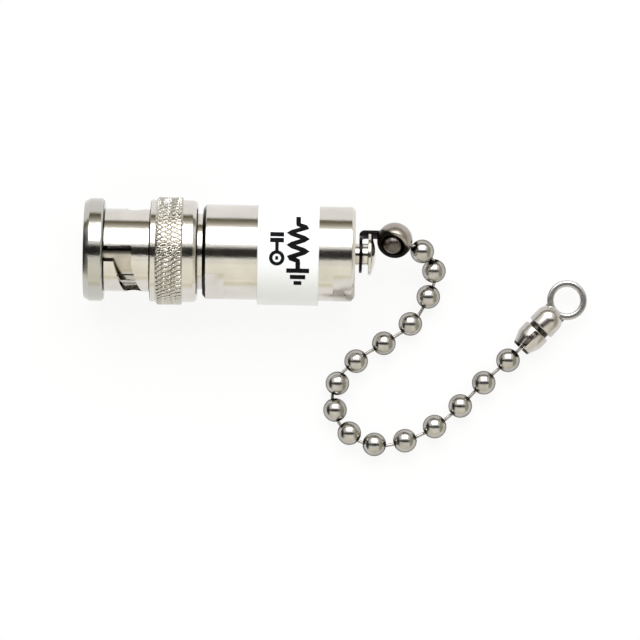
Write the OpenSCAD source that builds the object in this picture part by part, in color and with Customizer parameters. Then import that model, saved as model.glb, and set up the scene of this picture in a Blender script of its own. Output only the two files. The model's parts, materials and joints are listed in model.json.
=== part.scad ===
// Coaxial terminator: a bayonet plug with a load resistor inside and a ball chain on its back.
// It lies on its side as it would on a bench. X runs along the plug's axis from the mating end
// to the chain end, Z is up, and X = 0 is the front face of the coupling nut.
// Sizes are in millimetres and angles in degrees.

/* [Coupling nut] */
// Length of the coupling nut
nut_len = 15.2; // [14:0.1:18]
// Diameter of the front flange
flange_d = 13.8; // [13:0.1:15]
// Length of the front flange
flange_len = 2.6; // [2:0.1:3]
// Diameter of the slotted barrel
barrel_d = 11.1; // [10.8:0.1:12]
// Diameter over the knurl
knurl_d = 14.5; // [14:0.1:16]
// Length of the knurled band
knurl_len = 4.35; // [3.5:0.05:5]
// Diameter of the plain rear collar
collar_d = 13.7; // [12.5:0.1:14]
// Length of the plain rear collar
collar_len = 2.0; // [1.6:0.1:2.6]
// Bore that slides over the mating jack
nut_bore_d = 9.75; // [9.7:0.05:9.9]
// Thickness of the wall that pulls on the washers
nut_back = 1.3; // [1:0.1:1.6]
// Chamfer on the nut's outer edges
nut_edge = 0.5; // [0.3:0.05:0.7]
// Length of the bevel at the flange's front
flange_bevel = 0.75; // [0.5:0.05:1]

/* [Knurl] */
// Length of the plain shoulder before the knurl
knurl_shoulder = 0.75; // [0.5:0.05:1]
// Diamonds round the band
knurl_teeth = 64; // [48:1:72]
// Half diamonds along the band, an even number
knurl_rows = 6; // [4:2:8]
// Depth of the grooves
knurl_depth = 0.32; // [0.2:0.01:0.4]

/* [Cam slots] */
// Diameter of the jack's bayonet stud
jack_stud_d = 2.0; // [1.9:0.05:2.1]
// Play of the stud on each side of its slot
jack_stud_play = 0.16; // [0.1:0.01:0.2]
// Where the first slot starts, turned from the top towards the front
slot_start = 6; // [0:1:20]
// Angle that the nut turns to lock
slot_turn = 88; // [80:1:95]
// Distance that one locking turn draws the jack in
slot_pull = 2.1; // [1.8:0.1:2.4]
// Distance from the flange to the middle of the ramp's start
slot_lead = 2.3; // [2:0.1:2.6]
// Distance from the flange to the far side of the square entry pocket
slot_pocket = 3.85; // [3.7:0.05:4]
// Step back into the locking seat
slot_seat = 0.3; // [0.2:0.05:0.4]

/* [Washers and seal] */
// Thickness of the thrust washer
washer_t = 0.5; // [0.4:0.05:0.6]
// Height of the wave washer at rest
wave_h = 0.6; // [0.5:0.05:0.8]
// Sheet thickness of the wave washer
wave_t = 0.15; // [0.1:0.01:0.2]
// Waves round the wave washer
waves = 3; // [3:1:5]
// Thickness of the retaining ring
snap_t = 0.4; // [0.35:0.05:0.5]
// Gap in the retaining ring
snap_gap = 1.4; // [1:0.1:2]
// Thickness of the sealing gasket
gasket_t = 1.0; // [0.8:0.1:1.2]

/* [Contacts and insulator] */
// Outside diameter of the slotted outer contact
contact_d = 8.1; // [8:0.05:8.2]
// Wall of the outer contact
contact_wall = 0.55; // [0.45:0.05:0.6]
// How far the outer contact lies behind the nut's front face
contact_inset = 1.6; // [1.2:0.1:2]
// Slits in the outer contact
contact_slits = 6; // [4:1:8]
// Width of one slit
slit_w = 0.35; // [0.25:0.05:0.45]
// Length of one slit
slit_len = 6.6; // [5:0.1:7]
// Diameter of the centre pin
pin_d = 1.35; // [1.32:0.01:1.37]
// How far the pin's shoulder stands out in the insulator
pin_shoulder = 0.24; // [0.2:0.01:0.3]
// Length of the pin's seat in the insulator
pin_seat = 1.8; // [1.4:0.1:2.4]
// How far the pin's tip lies behind the outer contact's end
pin_inset = 2.0; // [1.5:0.1:2.5]
// Bore of the insulator that takes the jack's own insulator
insulator_bore_d = 4.9; // [4.83:0.01:5.1]
// How far the insulator lies behind the outer contact's end
insulator_inset = 1.6; // [1.2:0.1:2]

/* [Body] */
// Body diameter
body_d = 12.7; // [12.3:0.1:13.2]
// Body length from its front shoulder to its back face
body_len = 20.4; // [19.8:0.1:22]
// Diameter of the neck between nut and body
neck_d = 10.2; // [9.6:0.1:10.8]
// Length of the neck in view
neck_len = 0.7; // [0.5:0.1:1.2]
// Diameter of the journal that the nut turns on
journal_d = 8.6; // [8.5:0.05:8.7]
// Wall of the front housing
body_wall = 1.05; // [0.9:0.05:1.2]
// Wall of the rear housing's bore, inside the front housing
spigot_wall = 0.7; // [0.6:0.05:0.9]
// Length of the rear housing's spigot
spigot_len = 3.0; // [2:0.1:4]
// Thickness of the back wall
back_wall = 1.4; // [1.2:0.1:2]
// Edge chamfer at the front of the body
front_edge = 0.3; // [0.2:0.05:0.4]
// Edge chamfer at the back of the body
back_edge = 0.45; // [0.3:0.05:0.6]
// Size across the spanner flats
flats_w = 11.3; // [11:0.1:11.8]
// Length of the spanner flats
flats_len = 2.9; // [2.5:0.1:3.2]
// Direction that the flats face, turned from the top
flats_turn = 55; // [0:5:90]

/* [Label sleeve] */
// Outside diameter of the sleeve
sleeve_d = 14.0; // [13.4:0.1:14.3]
// Length of the sleeve
sleeve_len = 8.2; // [7.5:0.1:8.6]
// Distance from the body's front shoulder to the sleeve
sleeve_from = 7.35; // [6.6:0.05:7.8]

/* [Load resistor] */
// Diameter of the resistor's end caps
cap_d = 3.8; // [3.4:0.1:4.2]
// Length of the resistor over its caps
resistor_len = 9.5; // [9:0.1:10]
// Length of one end cap
cap_len = 1.3; // [1:0.1:1.6]
// Sheet thickness of the caps
cap_t = 0.2; // [0.15:0.05:0.25]
// Diameter of the leads
lead_d = 0.7; // [0.6:0.05:0.8]
// Length of the front lead in view
front_lead = 1.0; // [0.6:0.1:1.4]
// Length of the rear lead before the ground disc
rear_lead = 2.3; // [1.8:0.1:2.6]
// Thickness of the ground disc
disc_t = 0.8; // [0.6:0.1:1]

/* [Chain stud] */
// Diameter of the stud's neck
stud_d = 2.9; // [2.7:0.1:3.1]
// Length of the neck under the head
stud_len = 1.75; // [1.5:0.05:2.2]
// Diameter of the head
head_d = 5.6; // [5.2:0.1:5.8]
// Thickness of the head's rim
head_rim = 0.35; // [0.25:0.05:0.5]
// Height of the head's dome above its rim
head_dome = 0.65; // [0.4:0.05:0.7]
// Diameter of the riveted shank
shank_d = 2.4; // [2.2:0.1:2.6]

/* [Ball chain] */
// Diameter of one ball
ball_d = 3.2; // [3.1:0.05:3.3]
// Sheet thickness of the balls
ball_t = 0.15; // [0.12:0.01:0.18]
// Holes in a ball
ball_hole_d = 0.78; // [0.74:0.01:0.82]
// Diameter of the wire links
wire_d = 0.44; // [0.4:0.01:0.48]
// Diameter of the upset ends of a link
wire_head_d = 0.9; // [0.86:0.01:0.92]
// Length of wire in view where the chain is taut
wire_gap = 1.42; // [1.35:0.01:1.5]
// Distance from a ball's hole to the link's end inside it, where the chain is taut
wire_reach = 0.65; // [0.6:0.01:0.68]

/* [Lie of the chain] */
// Direction of each link seen from above, from the plug on
link_turns = [-9, -56, -107, -120, -147, -149, -134, -93, -57, -23, 11, 27, 41, 48, 42, 47];
// Fall of the first links, from the plug on
first_falls = [-18, -33, -12];
// Rise of the last link to the far connector
last_rise = 4.4; // [0:0.1:8]

/* [Chain connectors] */
// Sheet thickness of the connectors
clip_t = 0.4; // [0.3:0.05:0.45]
// Space between a captured ball and the clasp at the plug
near_play = 0.25; // [0.15:0.05:0.3]
// Outside diameter of the eyelet on the stud
eyelet_d = 5.0; // [4.4:0.1:5.2]
// Width of the strap that passes the stud's head
strap_w = 1.6; // [1.2:0.1:2]
// Space between the stud's head and the strap
strap_clear = 0.28; // [0.2:0.02:0.4]
// Inside radius of the strap's bend
strap_bow = 0.35; // [0.3:0.05:0.5]
// Space between the stud's head and the clasp
clasp_clear = 0.8; // [0.7:0.05:1]
// Distance from the stud's axis to the captured ball
clasp_off = 2.1; // [1.9:0.05:2.4]
// How far the clasp's shell bulges beyond the play that the ball needs
clasp_bulge = 0.15; // [0.1:0.01:0.2]
// Tilt of the clasp's mouth, from the top towards the chain
clasp_tilt = 38; // [30:1:50]
// Space between a captured ball and the clasp at the chain's end
far_play = 0.06; // [0.04:0.01:0.1]
// Thickness of the far clasp's petals
petal_t = 0.28; // [0.2:0.01:0.32]
// Diameter of the neck between the petals and the bell
bell_neck_d = 2.9; // [2.8:0.1:3]
// Length of that neck in view
bell_gap = 0.6; // [0.4:0.1:0.8]
// Taper of the petals towards the chain
petal_taper = 23; // [18:1:28]
// Width of the web between the bell and the end ring
web_w = 3.2; // [2.6:0.1:3.4]
// Distance from the far captured ball to the middle of the bell behind it
bell_off = 3.2; // [2.9:0.1:3.5]
// Distance from the far captured ball to the middle of the end ring
end_ring_off = 6.9; // [6.5:0.1:7.4]
// Hole in the end ring
end_ring_bore = 3.6; // [3.2:0.1:3.8]
// Outside diameter of the end ring
end_ring_d = 5.4; // [5.2:0.1:5.8]
// Thickness of the end ring
end_ring_t = 0.9; // [0.7:0.1:1.1]
// Rounding of the end ring's edges
end_ring_round = 0.25; // [0.15:0.05:0.3]

/* [Fits] */
// Radial clearance of turning and sliding parts
run_clear = 0.05; // [0.02:0.01:0.08]
// Radial clearance of pressed and soldered parts
press_clear = 0.01; // [0.01:0.01:0.02]

/* [Hidden] */
$fn = 64;
eps = 0.02;

// Stations along the plug, counted from the nut's front face.
x_collar = nut_len - collar_len;
x_knurl = x_collar - knurl_len;
x_back = nut_len - nut_back;
x_washer = x_back - washer_t;
x_wave = x_washer - wave_h;
x_snap = x_wave - snap_t;
x_journal = x_snap - snap_t;
x_seat = x_journal - 0.8;
x_gasket = x_seat - gasket_t;
x_body = nut_len + neck_len;
x_end = x_body + body_len;
x_cavity = x_body + 1.1;
x_sleeve = x_body + sleeve_from;
x_seam = x_sleeve + sleeve_len / 2;
x_back_wall = x_end - back_wall;
x_cap = x_cavity + 1 + front_lead;
x_disc = x_cap + resistor_len + rear_lead;
x_head = x_end + stud_len;

// Radii that fits depend on.
nut_bore = nut_bore_d / 2;
journal = journal_d / 2;
contact_bore = contact_d / 2 - contact_wall;
contact_shank = journal - 0.7;
insulator_r = contact_shank - 0.6;
pin_r = pin_d / 2;
pin_neck_r = pin_r + pin_shoulder;
pin_body_r = pin_neck_r + 0.09;
cavity = body_d / 2 - body_wall;
spigot_bore = cavity - spigot_wall;
lead_r = lead_d / 2;
x_pin = contact_inset + pin_inset;
slot_w = jack_stud_d + 2 * jack_stud_play;

// The chain's own sizes.
ball_r = ball_d / 2;
ball_in = ball_r - ball_t;
hole_at = ball_r - ball_t / 2;
link_len = wire_gap + 2 * wire_reach;
links = len(link_turns);
floor_z = -knurl_d / 2;
near_in = ball_r + near_play;
near_out = near_in + clip_t;
far_in = ball_r + far_play;
far_out = far_in + petal_t;

function unit(v) = v / norm(v);
function heading(turn, rise) = [cos(rise) * cos(turn), cos(rise) * sin(turn), sin(rise)];
function rise(i) = i < len(first_falls) ? first_falls[i] : i == links - 1 ? last_rise : 0;
link_dirs = [for (i = [0:links - 1]) heading(link_turns[i], rise(i))];

// A ball points half way between its two links.
ball_dirs = [for (i = [0:links])
    i == 0 ? link_dirs[0] : i == links ? link_dirs[i - 1] : unit(link_dirs[i - 1] + link_dirs[i])];
function bend(i) = i <= 0 || i >= links ? 0 : acos(link_dirs[i - 1] * link_dirs[i]);

// Where the chain bends tightly its links slide into the balls.
function gap(i) = wire_gap - lookup((bend(i) + bend(i + 1)) / 2, [[22, 0], [28, 0.45], [36, 0.68]]);
chain_steps = [for (i = [0:links - 1])
    hole_at * ball_dirs[i] + gap(i) * link_dirs[i] + hole_at * ball_dirs[i + 1]];
function travel(i) = i == 0 ? [0, 0, 0] : travel(i - 1) + chain_steps[i - 1];

// The balls behind the first links lie on the floor, which sets how far the near connector hangs.
hang_z = floor_z + ball_r - travel(len(first_falls) + 1).z;
hang_turn = asin(hang_z / clasp_off);
clasp_x = x_head + head_rim + near_out + clasp_clear;
chain_start = [clasp_x, clasp_off * cos(hang_turn), hang_z];
function ball_at(i) = chain_start + travel(i);

// Turns a shape drawn along X to a direction, keeping its Z side up.
module aim(v) {
    rotate([0, -asin(v.z), atan2(v.y, v.x)]) children();
}

// Turns a profile drawn as (x, radius) round the X axis.
module turned(points) {
    rotate([90, 0, 90])
        rotate_extrude()
            polygon([for (p = points) [p.y, p.x]]);
}

// A tube along X, from one station to another.
module tube_x(from, to, outer, inner) {
    translate([from, 0, 0])
        rotate([0, 90, 0])
            difference() {
                cylinder(h = to - from, r = outer);
                translate([0, 0, -eps])
                    cylinder(h = to - from + 2 * eps, r = inner);
            }
}

module rod_x(from, to, r) {
    translate([from, 0, 0])
        rotate([0, 90, 0])
            cylinder(h = to - from, r = r);
}

function on_ring(x, r, turn) = [x, -r * sin(turn), r * cos(turn)];

// Diamond knurl: peaks and groove crossings alternate on a grid, and every cell
// is folded along the groove that joins its two crossings.
module knurl_band() {
    cols = 2 * knurl_teeth;
    rows = knurl_rows;
    top = knurl_d / 2;
    low = top - knurl_depth;
    inner = low - 0.6;
    edge = 0.25;
    band = x_knurl + knurl_shoulder;
    stations = concat([band - eps], [for (j = [0:rows]) band + edge + (x_collar - band - edge) * j / rows]);
    function height(i, j) = j == 0 ? low - 0.25 : (i + j) % 2 == 0 ? low : top;
    last = len(stations) - 1;
    outer_points = [for (j = [0:last], i = [0:cols - 1])
        on_ring(stations[j], height(i, j), 360 * i / cols)];
    inner_points = [for (j = [0, last], i = [0:cols - 1])
        on_ring(stations[j], inner, 360 * i / cols)];
    base = len(outer_points);
    function at(i, j) = (i % cols) + j * cols;
    skin = [for (j = [0:last - 1], i = [0:cols - 1], k = [0, 1])
        (i + j) % 2 == 0
            ? [at(i, j), k == 0 ? at(i + 1, j + 1) : at(i, j + 1), k == 0 ? at(i + 1, j) : at(i + 1, j + 1)]
            : [k == 0 ? at(i, j) : at(i + 1, j), at(i, j + 1), k == 0 ? at(i + 1, j) : at(i + 1, j + 1)]];
    front = [for (i = [0:cols - 1])
        [at(i, 0), at(i + 1, 0), base + (i + 1) % cols, base + i]];
    back = [for (i = [0:cols - 1])
        [at(i + 1, last), at(i, last), base + cols + i, base + cols + (i + 1) % cols]];
    bore = [for (i = [0:cols - 1])
        [base + i, base + (i + 1) % cols, base + cols + (i + 1) % cols, base + cols + i]];
    polyhedron(concat(outer_points, inner_points), concat(skin, front, back, bore));
}

// One ramp of the cam, swept round the barrel as a rectangular section.
module cam_ramp() {
    steps = 22;
    inner = nut_bore - 0.4;
    outer = barrel_d / 2 + 0.4;
    start = flange_len + slot_lead;
    points = [for (s = [0:steps])
        let (
            turn = slot_start + slot_turn * s / steps,
            mid = start + slot_pull * s / steps
        )
        each [
            on_ring(mid - slot_w / 2, inner, turn),
            on_ring(mid + slot_w / 2, inner, turn),
            on_ring(mid + slot_w / 2, outer, turn),
            on_ring(mid - slot_w / 2, outer, turn)
        ]];
    sides = [for (s = [0:steps - 1], k = [0:3])
        [4 * s + k, 4 * s + 4 + k, 4 * s + 4 + (k + 1) % 4, 4 * s + (k + 1) % 4]];
    n = 4 * steps;
    polyhedron(points, concat([[0, 1, 2, 3]], sides, [[n + 3, n + 2, n + 1, n]]));
}

// The whole cut for one stud: the groove through the flange, the square pocket, the ramp and its seat.
module cam_slot() {
    groove_top = (flange_d / 2 + nut_bore) / 2 + 0.05;
    start = flange_len + slot_lead;
    through = barrel_d / 2 - nut_bore + 1;
    rotate([slot_start, 0, 0])
        translate([-eps, -slot_w / 2 + 0.1, 0])
            cube([start + 0.25, slot_w - 0.2, groove_top]);
    for (turn = [0, slot_turn * 0.06])
        rotate([slot_start + turn, 0, 0])
            translate([start, -slot_w / 2, nut_bore - 0.5])
                cube([slot_pocket - slot_lead, slot_w, through]);
    cam_ramp();
    rotate([slot_start + slot_turn, 0, 0])
        translate([start + slot_pull - slot_seat, 0, nut_bore - 0.5])
            cylinder(h = through, d = slot_w);
}

module coupling_nut() {
    low = knurl_d / 2 - knurl_depth - 0.3;
    color([0.80, 0.79, 0.75])
        difference() {
            union() {
                turned([
                    [0, nut_bore + 0.55],
                    [0, flange_d / 2 - flange_bevel * 0.55],
                    [flange_bevel, flange_d / 2],
                    [flange_len - nut_edge / 2, flange_d / 2],
                    [flange_len, flange_d / 2 - nut_edge / 2],
                    [flange_len, barrel_d / 2],
                    [x_knurl, barrel_d / 2],
                    [x_knurl, collar_d / 2 - 0.1],
                    [x_knurl + 0.1, collar_d / 2],
                    [x_knurl + knurl_shoulder, collar_d / 2],
                    [x_knurl + knurl_shoulder, low],
                    [x_collar - 0.2, low],
                    [x_collar - 0.2, collar_d / 2],
                    [nut_len - nut_edge * 1.3, collar_d / 2],
                    [nut_len - nut_edge * 0.4, collar_d / 2 - nut_edge * 0.4],
                    [nut_len, collar_d / 2 - nut_edge * 1.3],
                    [nut_len, journal + run_clear],
                    [x_back, journal + run_clear],
                    [x_back, nut_bore],
                    [0.55, nut_bore]
                ]);
                knurl_band();
            }
            for (side = [0, 180])
                rotate([side, 0, 0])
                    cam_slot();
        }
}

module thrust_washer() {
    color([0.85, 0.82, 0.70])
        tube_x(x_washer, x_back, nut_bore - 0.1, journal + run_clear);
}

// The wave washer is a thin ring that rises and falls between the retaining ring and the thrust washer.
module wave_washer() {
    cols = 72;
    swing = (wave_h - wave_t) / 2;
    mid = x_wave + wave_h / 2;
    inner = journal + run_clear + 0.03;
    outer = nut_bore - 0.12;
    points = [for (i = [0:cols - 1])
        let (turn = 360 * i / cols, x = mid + swing * cos(waves * turn))
        each [
            on_ring(x - wave_t / 2, inner, turn),
            on_ring(x + wave_t / 2, inner, turn),
            on_ring(x + wave_t / 2, outer, turn),
            on_ring(x - wave_t / 2, outer, turn)
        ]];
    sides = [for (s = [0:cols - 1], k = [0:3])
        let (next = (4 * s + 4) % (4 * cols), k2 = (k + 1) % 4)
        [4 * s + k, 4 * s + k2, next + k2, next + k]];
    color([0.62, 0.62, 0.60])
        polyhedron(points, sides);
}

module retaining_ring() {
    groove = journal - 0.35 + press_clear;
    color([0.55, 0.55, 0.53])
        difference() {
            tube_x(x_snap, x_wave, nut_bore - 0.15, groove);
            translate([x_snap - 1, -snap_gap / 2, 0])
                cube([snap_t + 2, snap_gap, nut_bore + 1]);
        }
}

module gasket() {
    color([0.62, 0.24, 0.18])
        difference() {
            tube_x(x_gasket, x_seat, nut_bore - 0.1, contact_d / 2 + press_clear);
            tube_x(x_gasket + gasket_t * 0.35, x_seat - gasket_t * 0.35, nut_bore + 1, nut_bore - 0.25);
        }
}

module outer_contact() {
    tip = contact_d / 2;
    color([0.80, 0.72, 0.50])
        difference() {
            turned([
                [contact_inset, contact_bore + 0.2],
                [contact_inset, tip - 0.2],
                [contact_inset + 0.25, tip],
                [x_seat, tip],
                [x_seat, journal],
                [x_journal, journal],
                [x_journal, contact_shank],
                [x_body - 0.45, contact_shank],
                [x_body - 0.45, insulator_r],
                [x_seat, insulator_r],
                [x_seat, contact_bore],
                [contact_inset + 0.2, contact_bore]
            ]);
            for (i = [0:contact_slits - 1])
                rotate([55 + 360 * i / contact_slits, 0, 0])
                    translate([contact_inset - 1, -slit_w / 2, contact_bore - 1])
                        cube([slit_len + 1, slit_w, 3]);
        }
}

module insulator() {
    nose = contact_bore - run_clear;
    base = insulator_r - press_clear;
    from = contact_inset + insulator_inset;
    color([0.95, 0.95, 0.93])
        turned([
            [from, insulator_bore_d / 2 + 0.15],
            [from, nose - 0.15],
            [from + 0.3, nose],
            [x_seat, nose],
            [x_seat, base],
            [x_cavity, base],
            [x_cavity, pin_body_r + press_clear],
            [x_seat + pin_seat, pin_body_r + press_clear],
            [x_seat + pin_seat, pin_neck_r + press_clear],
            [x_seat, pin_neck_r + press_clear],
            [x_seat, insulator_bore_d / 2],
            [from + 0.2, insulator_bore_d / 2]
        ]);
}

module centre_pin() {
    color([0.86, 0.70, 0.34])
        turned([
            [x_pin, 0],
            [x_pin, pin_r * 0.35],
            [x_pin + 0.15, pin_r * 0.55],
            [x_pin + 0.9, pin_r],
            [x_seat - 0.2, pin_r],
            [x_seat - 0.2, pin_neck_r],
            [x_seat + pin_seat, pin_neck_r],
            [x_seat + pin_seat, pin_body_r],
            [x_cavity + 1, pin_body_r],
            [x_cavity + 1, lead_r + press_clear],
            [x_cavity - 0.8, lead_r + press_clear],
            [x_cavity - 0.8, 0]
        ]);
}

// Two flats across the body, cut from one station to another.
module spanner_flats(from, to) {
    for (side = [0, 180])
        rotate([flats_turn + side, 0, 0])
            translate([from, -body_d, flats_w / 2])
                cube([to - from, 2 * body_d, body_d]);
}

module front_housing() {
    groove = journal - 0.35;
    color([0.79, 0.78, 0.74])
        difference() {
            turned([
                [x_journal, contact_shank + press_clear],
                [x_journal, journal],
                [x_snap, journal],
                [x_snap, groove],
                [x_wave, groove],
                [x_wave, journal],
                [nut_len, journal],
                [nut_len, neck_d / 2],
                [x_body, neck_d / 2],
                [x_body, body_d / 2 - front_edge],
                [x_body + front_edge, body_d / 2],
                [x_seam, body_d / 2],
                [x_seam, cavity],
                [x_cavity, cavity],
                [x_cavity, insulator_r],
                [x_body - 0.44, insulator_r],
                [x_body - 0.44, contact_shank + press_clear]
            ]);
            spanner_flats(x_body - 1, x_body + flats_len);
        }
}

module rear_housing() {
    from = x_seam - spigot_len;
    spigot = cavity - press_clear;
    color([0.79, 0.78, 0.74])
        difference() {
            turned([
                [from, spigot_bore],
                [from, spigot - 0.2],
                [from + 0.2, spigot],
                [x_seam, spigot],
                [x_seam, body_d / 2],
                [x_end - back_edge, body_d / 2],
                [x_end, body_d / 2 - back_edge],
                [x_end, shank_d / 2 + press_clear],
                [x_back_wall, shank_d / 2 + press_clear],
                [x_back_wall, spigot_bore]
            ]);
            spanner_flats(x_end - flats_len, x_end + 1);
        }
}

module label_sleeve() {
    round = 0.2;
    inner = body_d / 2 + press_clear;
    color([0.95, 0.95, 0.94])
        turned([
            [x_sleeve, inner],
            [x_sleeve, sleeve_d / 2 - round],
            [x_sleeve + round, sleeve_d / 2],
            [x_sleeve + sleeve_len - round, sleeve_d / 2],
            [x_sleeve + sleeve_len, sleeve_d / 2 - round],
            [x_sleeve + sleeve_len, inner]
        ]);
}

module resistor_body() {
    core = cap_d / 2 - cap_t - press_clear;
    color([0.55, 0.42, 0.30])
        rod_x(x_cap + cap_t, x_cap + resistor_len - cap_t, core);
}

module resistor_caps() {
    inner = cap_d / 2 - cap_t;
    color([0.78, 0.78, 0.76])
        for (end = [0, 1])
            translate([x_cap + end * resistor_len, 0, 0])
                mirror([end, 0, 0])
                    turned([
                        [0, 0],
                        [0, cap_d / 2 - 0.1],
                        [0.1, cap_d / 2],
                        [cap_len, cap_d / 2],
                        [cap_len, inner],
                        [cap_t, inner],
                        [cap_t, 0]
                    ]);
}

module front_wire() {
    color([0.80, 0.78, 0.74])
        rod_x(x_cavity - 0.75, x_cap, lead_r);
}

module rear_wire() {
    color([0.80, 0.78, 0.74])
        rod_x(x_cap + resistor_len, x_disc + disc_t + 0.3, lead_r);
}

module ground_disc() {
    color([0.80, 0.70, 0.42])
        tube_x(x_disc, x_disc + disc_t, spigot_bore - press_clear, lead_r + press_clear);
}

// The stud is riveted through the back wall. Its head is a thin rim under a shallow dome.
module chain_stud() {
    sag = head_dome;
    crown = (pow(head_d / 2, 2) + sag * sag) / (2 * sag);
    color([0.80, 0.79, 0.76])
        rotate([90, 0, 90])
            rotate_extrude()
                intersection() {
                    union() {
                        translate([0, x_back_wall - 0.6])
                            square([shank_d / 2 + 0.8, 0.6]);
                        translate([0, x_back_wall - 0.1])
                            square([shank_d / 2, back_wall + 0.2]);
                        translate([0, x_end])
                            square([stud_d / 2, stud_len + 0.1]);
                        translate([0, x_head])
                            square([head_d / 2, head_rim]);
                        intersection() {
                            translate([0, x_head + head_rim + sag - crown])
                                circle(r = crown);
                            translate([0, x_head + head_rim - eps])
                                square([head_d / 2, sag + 1]);
                        }
                    }
                    translate([0, x_back_wall - 1])
                        square([head_d, back_wall + stud_len + 4]);
                }
}

// A hollow sheet ball with two holes on its own axis.
module chain_ball(i) {
    color([0.70, 0.69, 0.66])
        translate(ball_at(i))
            aim(ball_dirs[i])
                rotate([90, 0, 90])
                    rotate_extrude()
                        difference() {
                            circle(r = ball_r);
                            circle(r = ball_in);
                            translate([-ball_d, -ball_d])
                                square([ball_d + ball_hole_d / 2, 2 * ball_d]);
                        }
}

// A wire link with an upset head inside each of its two balls.
module chain_link(i) {
    from = ball_at(i) + hole_at * ball_dirs[i];
    reach = (link_len - gap(i)) / 2;
    color([0.66, 0.65, 0.62])
        translate(from)
            aim(link_dirs[i])
                rotate([90, 0, 90])
                    rotate_extrude()
                        intersection() {
                            union() {
                                translate([-wire_d / 2, -reach])
                                    square([wire_d, gap(i) + 2 * reach]);
                                for (x = [-reach, gap(i) + reach])
                                    translate([0, x])
                                        circle(d = wire_head_d);
                            }
                            translate([0, -link_len])
                                square([wire_head_d, 3 * link_len]);
                        }
}

// Eyelet on the stud, strap past the head, and a cup whose mouth leans towards the chain. The cup bulges
// to the side, and its mouth is a little narrower than the ball, so the ball snaps in.
module near_connector() {
    cup_in = near_in + clasp_bulge;
    cup_out = cup_in + clip_t;
    cup_at = chain_start + clasp_bulge * [1, 1.7, 0.6];
    mouth_off = sqrt(pow(cup_in, 2) - pow(ball_r - 0.01, 2));
    eyelet_x = x_end + (stud_len - clip_t) * 0.4;
    strap_r = head_d / 2 + strap_clear;
    bow = strap_bow;
    strap_end = clasp_x - near_out + 0.75;
    mouth = ball_hole_d * 2.5;
    color([0.66, 0.62, 0.56])
        difference() {
            union() {
                rotate([hang_turn, 0, 0]) {
                    tube_x(eyelet_x, eyelet_x + clip_t, eyelet_d / 2, stud_d / 2 + 0.1);
                    translate([0, 0, -strap_w / 2])
                        linear_extrude(strap_w) {
                            translate([eyelet_x, stud_d / 2 + 0.35])
                                square([clip_t, strap_r - bow - stud_d / 2 - 0.35]);
                            translate([eyelet_x + clip_t + bow, strap_r - bow])
                                intersection() {
                                    difference() {
                                        circle(r = bow + clip_t);
                                        circle(r = bow);
                                    }
                                    translate([-bow - clip_t, 0])
                                        square(bow + clip_t);
                                }
                            translate([eyelet_x + clip_t + bow - eps, strap_r])
                                square([strap_end - eyelet_x - clip_t - bow + eps, clip_t]);
                        }
                }
                translate(cup_at)
                    sphere(r = cup_out);
            }
            translate(cup_at) {
                sphere(r = cup_in);
                rotate([0, 0, -20])
                    rotate([clasp_tilt, 0, 0])
                        translate([-cup_out - 1, -cup_out - 1, mouth_off])
                            cube(2 * cup_out + 2);
            }
            translate(chain_start)
                aim(link_dirs[0])
                    rod_x(0, cup_out + 1, mouth / 2);
        }
}

// Petals round the last ball, a neck and a bell behind them, and the end ring on a flat web.
module far_connector() {
    tip_x = -far_out - 0.2;
    slit = wire_d + 0.2;
    neck_x = far_in * 0.7;
    color([0.74, 0.73, 0.71])
        translate(ball_at(links))
            rotate([0, 0, link_turns[links - 1]])
                difference() {
                    union() {
                        far_form(far_out, tip_x, far_out);
                        translate([end_ring_off, 0, 0])
                            end_ring();
                        translate([bell_off, -web_w / 2, -clip_t / 2])
                            cube([end_ring_off - bell_off, web_w, clip_t]);
                    }
                    far_form(far_in, tip_x - 0.01, bell_neck_d / 2 - petal_t);
                    tube_x(neck_x, neck_x + bell_gap, far_out + 1, bell_neck_d / 2);
                    translate([end_ring_off, 0, -far_out - 1])
                        cylinder(h = 2 * far_out + 2, d = end_ring_bore);
                    translate([tip_x - 1, -slit / 2, -far_out - 1])
                        cube([neck_x * 0.85 - tip_x + 1, slit, 2 * far_out + 2]);
                }
}

// Petals and bell turned as one outline: the petals taper along a line that touches their round part.
module far_form(r, tip_x, neck) {
    run = -tip_x - r * sin(petal_taper);
    wide = r * cos(petal_taper);
    rotate([0, 90, 0])
        rotate_extrude()
            intersection() {
                translate([0, tip_x])
                    square([r + 1, bell_off + r + 1 - tip_x]);
                union() {
                    circle(r = r);
                    translate([0, bell_off])
                        circle(r = r);
                    square([neck, bell_off]);
                    polygon([[0, tip_x], [wide - run * tan(petal_taper), tip_x],
                             [wide, tip_x + run], [0, tip_x + run]]);
                }
            }
}

module end_ring() {
    round = end_ring_round;
    mid = end_ring_t / 2;
    rotate_extrude()
        union() {
            translate([end_ring_bore / 2, -mid + round])
                square([end_ring_d / 2 - end_ring_bore / 2, end_ring_t - 2 * round]);
            translate([end_ring_bore / 2 + round, -mid])
                square([(end_ring_d - end_ring_bore) / 2 - 2 * round, end_ring_t]);
            for (r = [end_ring_bore / 2 + round, end_ring_d / 2 - round], z = [-mid + round, mid - round])
                translate([r, z])
                    circle(r = round);
        }
}

module ball_01() chain_ball(0);
module ball_02() chain_ball(1);
module ball_03() chain_ball(2);
module ball_04() chain_ball(3);
module ball_05() chain_ball(4);
module ball_06() chain_ball(5);
module ball_07() chain_ball(6);
module ball_08() chain_ball(7);
module ball_09() chain_ball(8);
module ball_10() chain_ball(9);
module ball_11() chain_ball(10);
module ball_12() chain_ball(11);
module ball_13() chain_ball(12);
module ball_14() chain_ball(13);
module ball_15() chain_ball(14);
module ball_16() chain_ball(15);
module ball_17() chain_ball(16);

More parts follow.
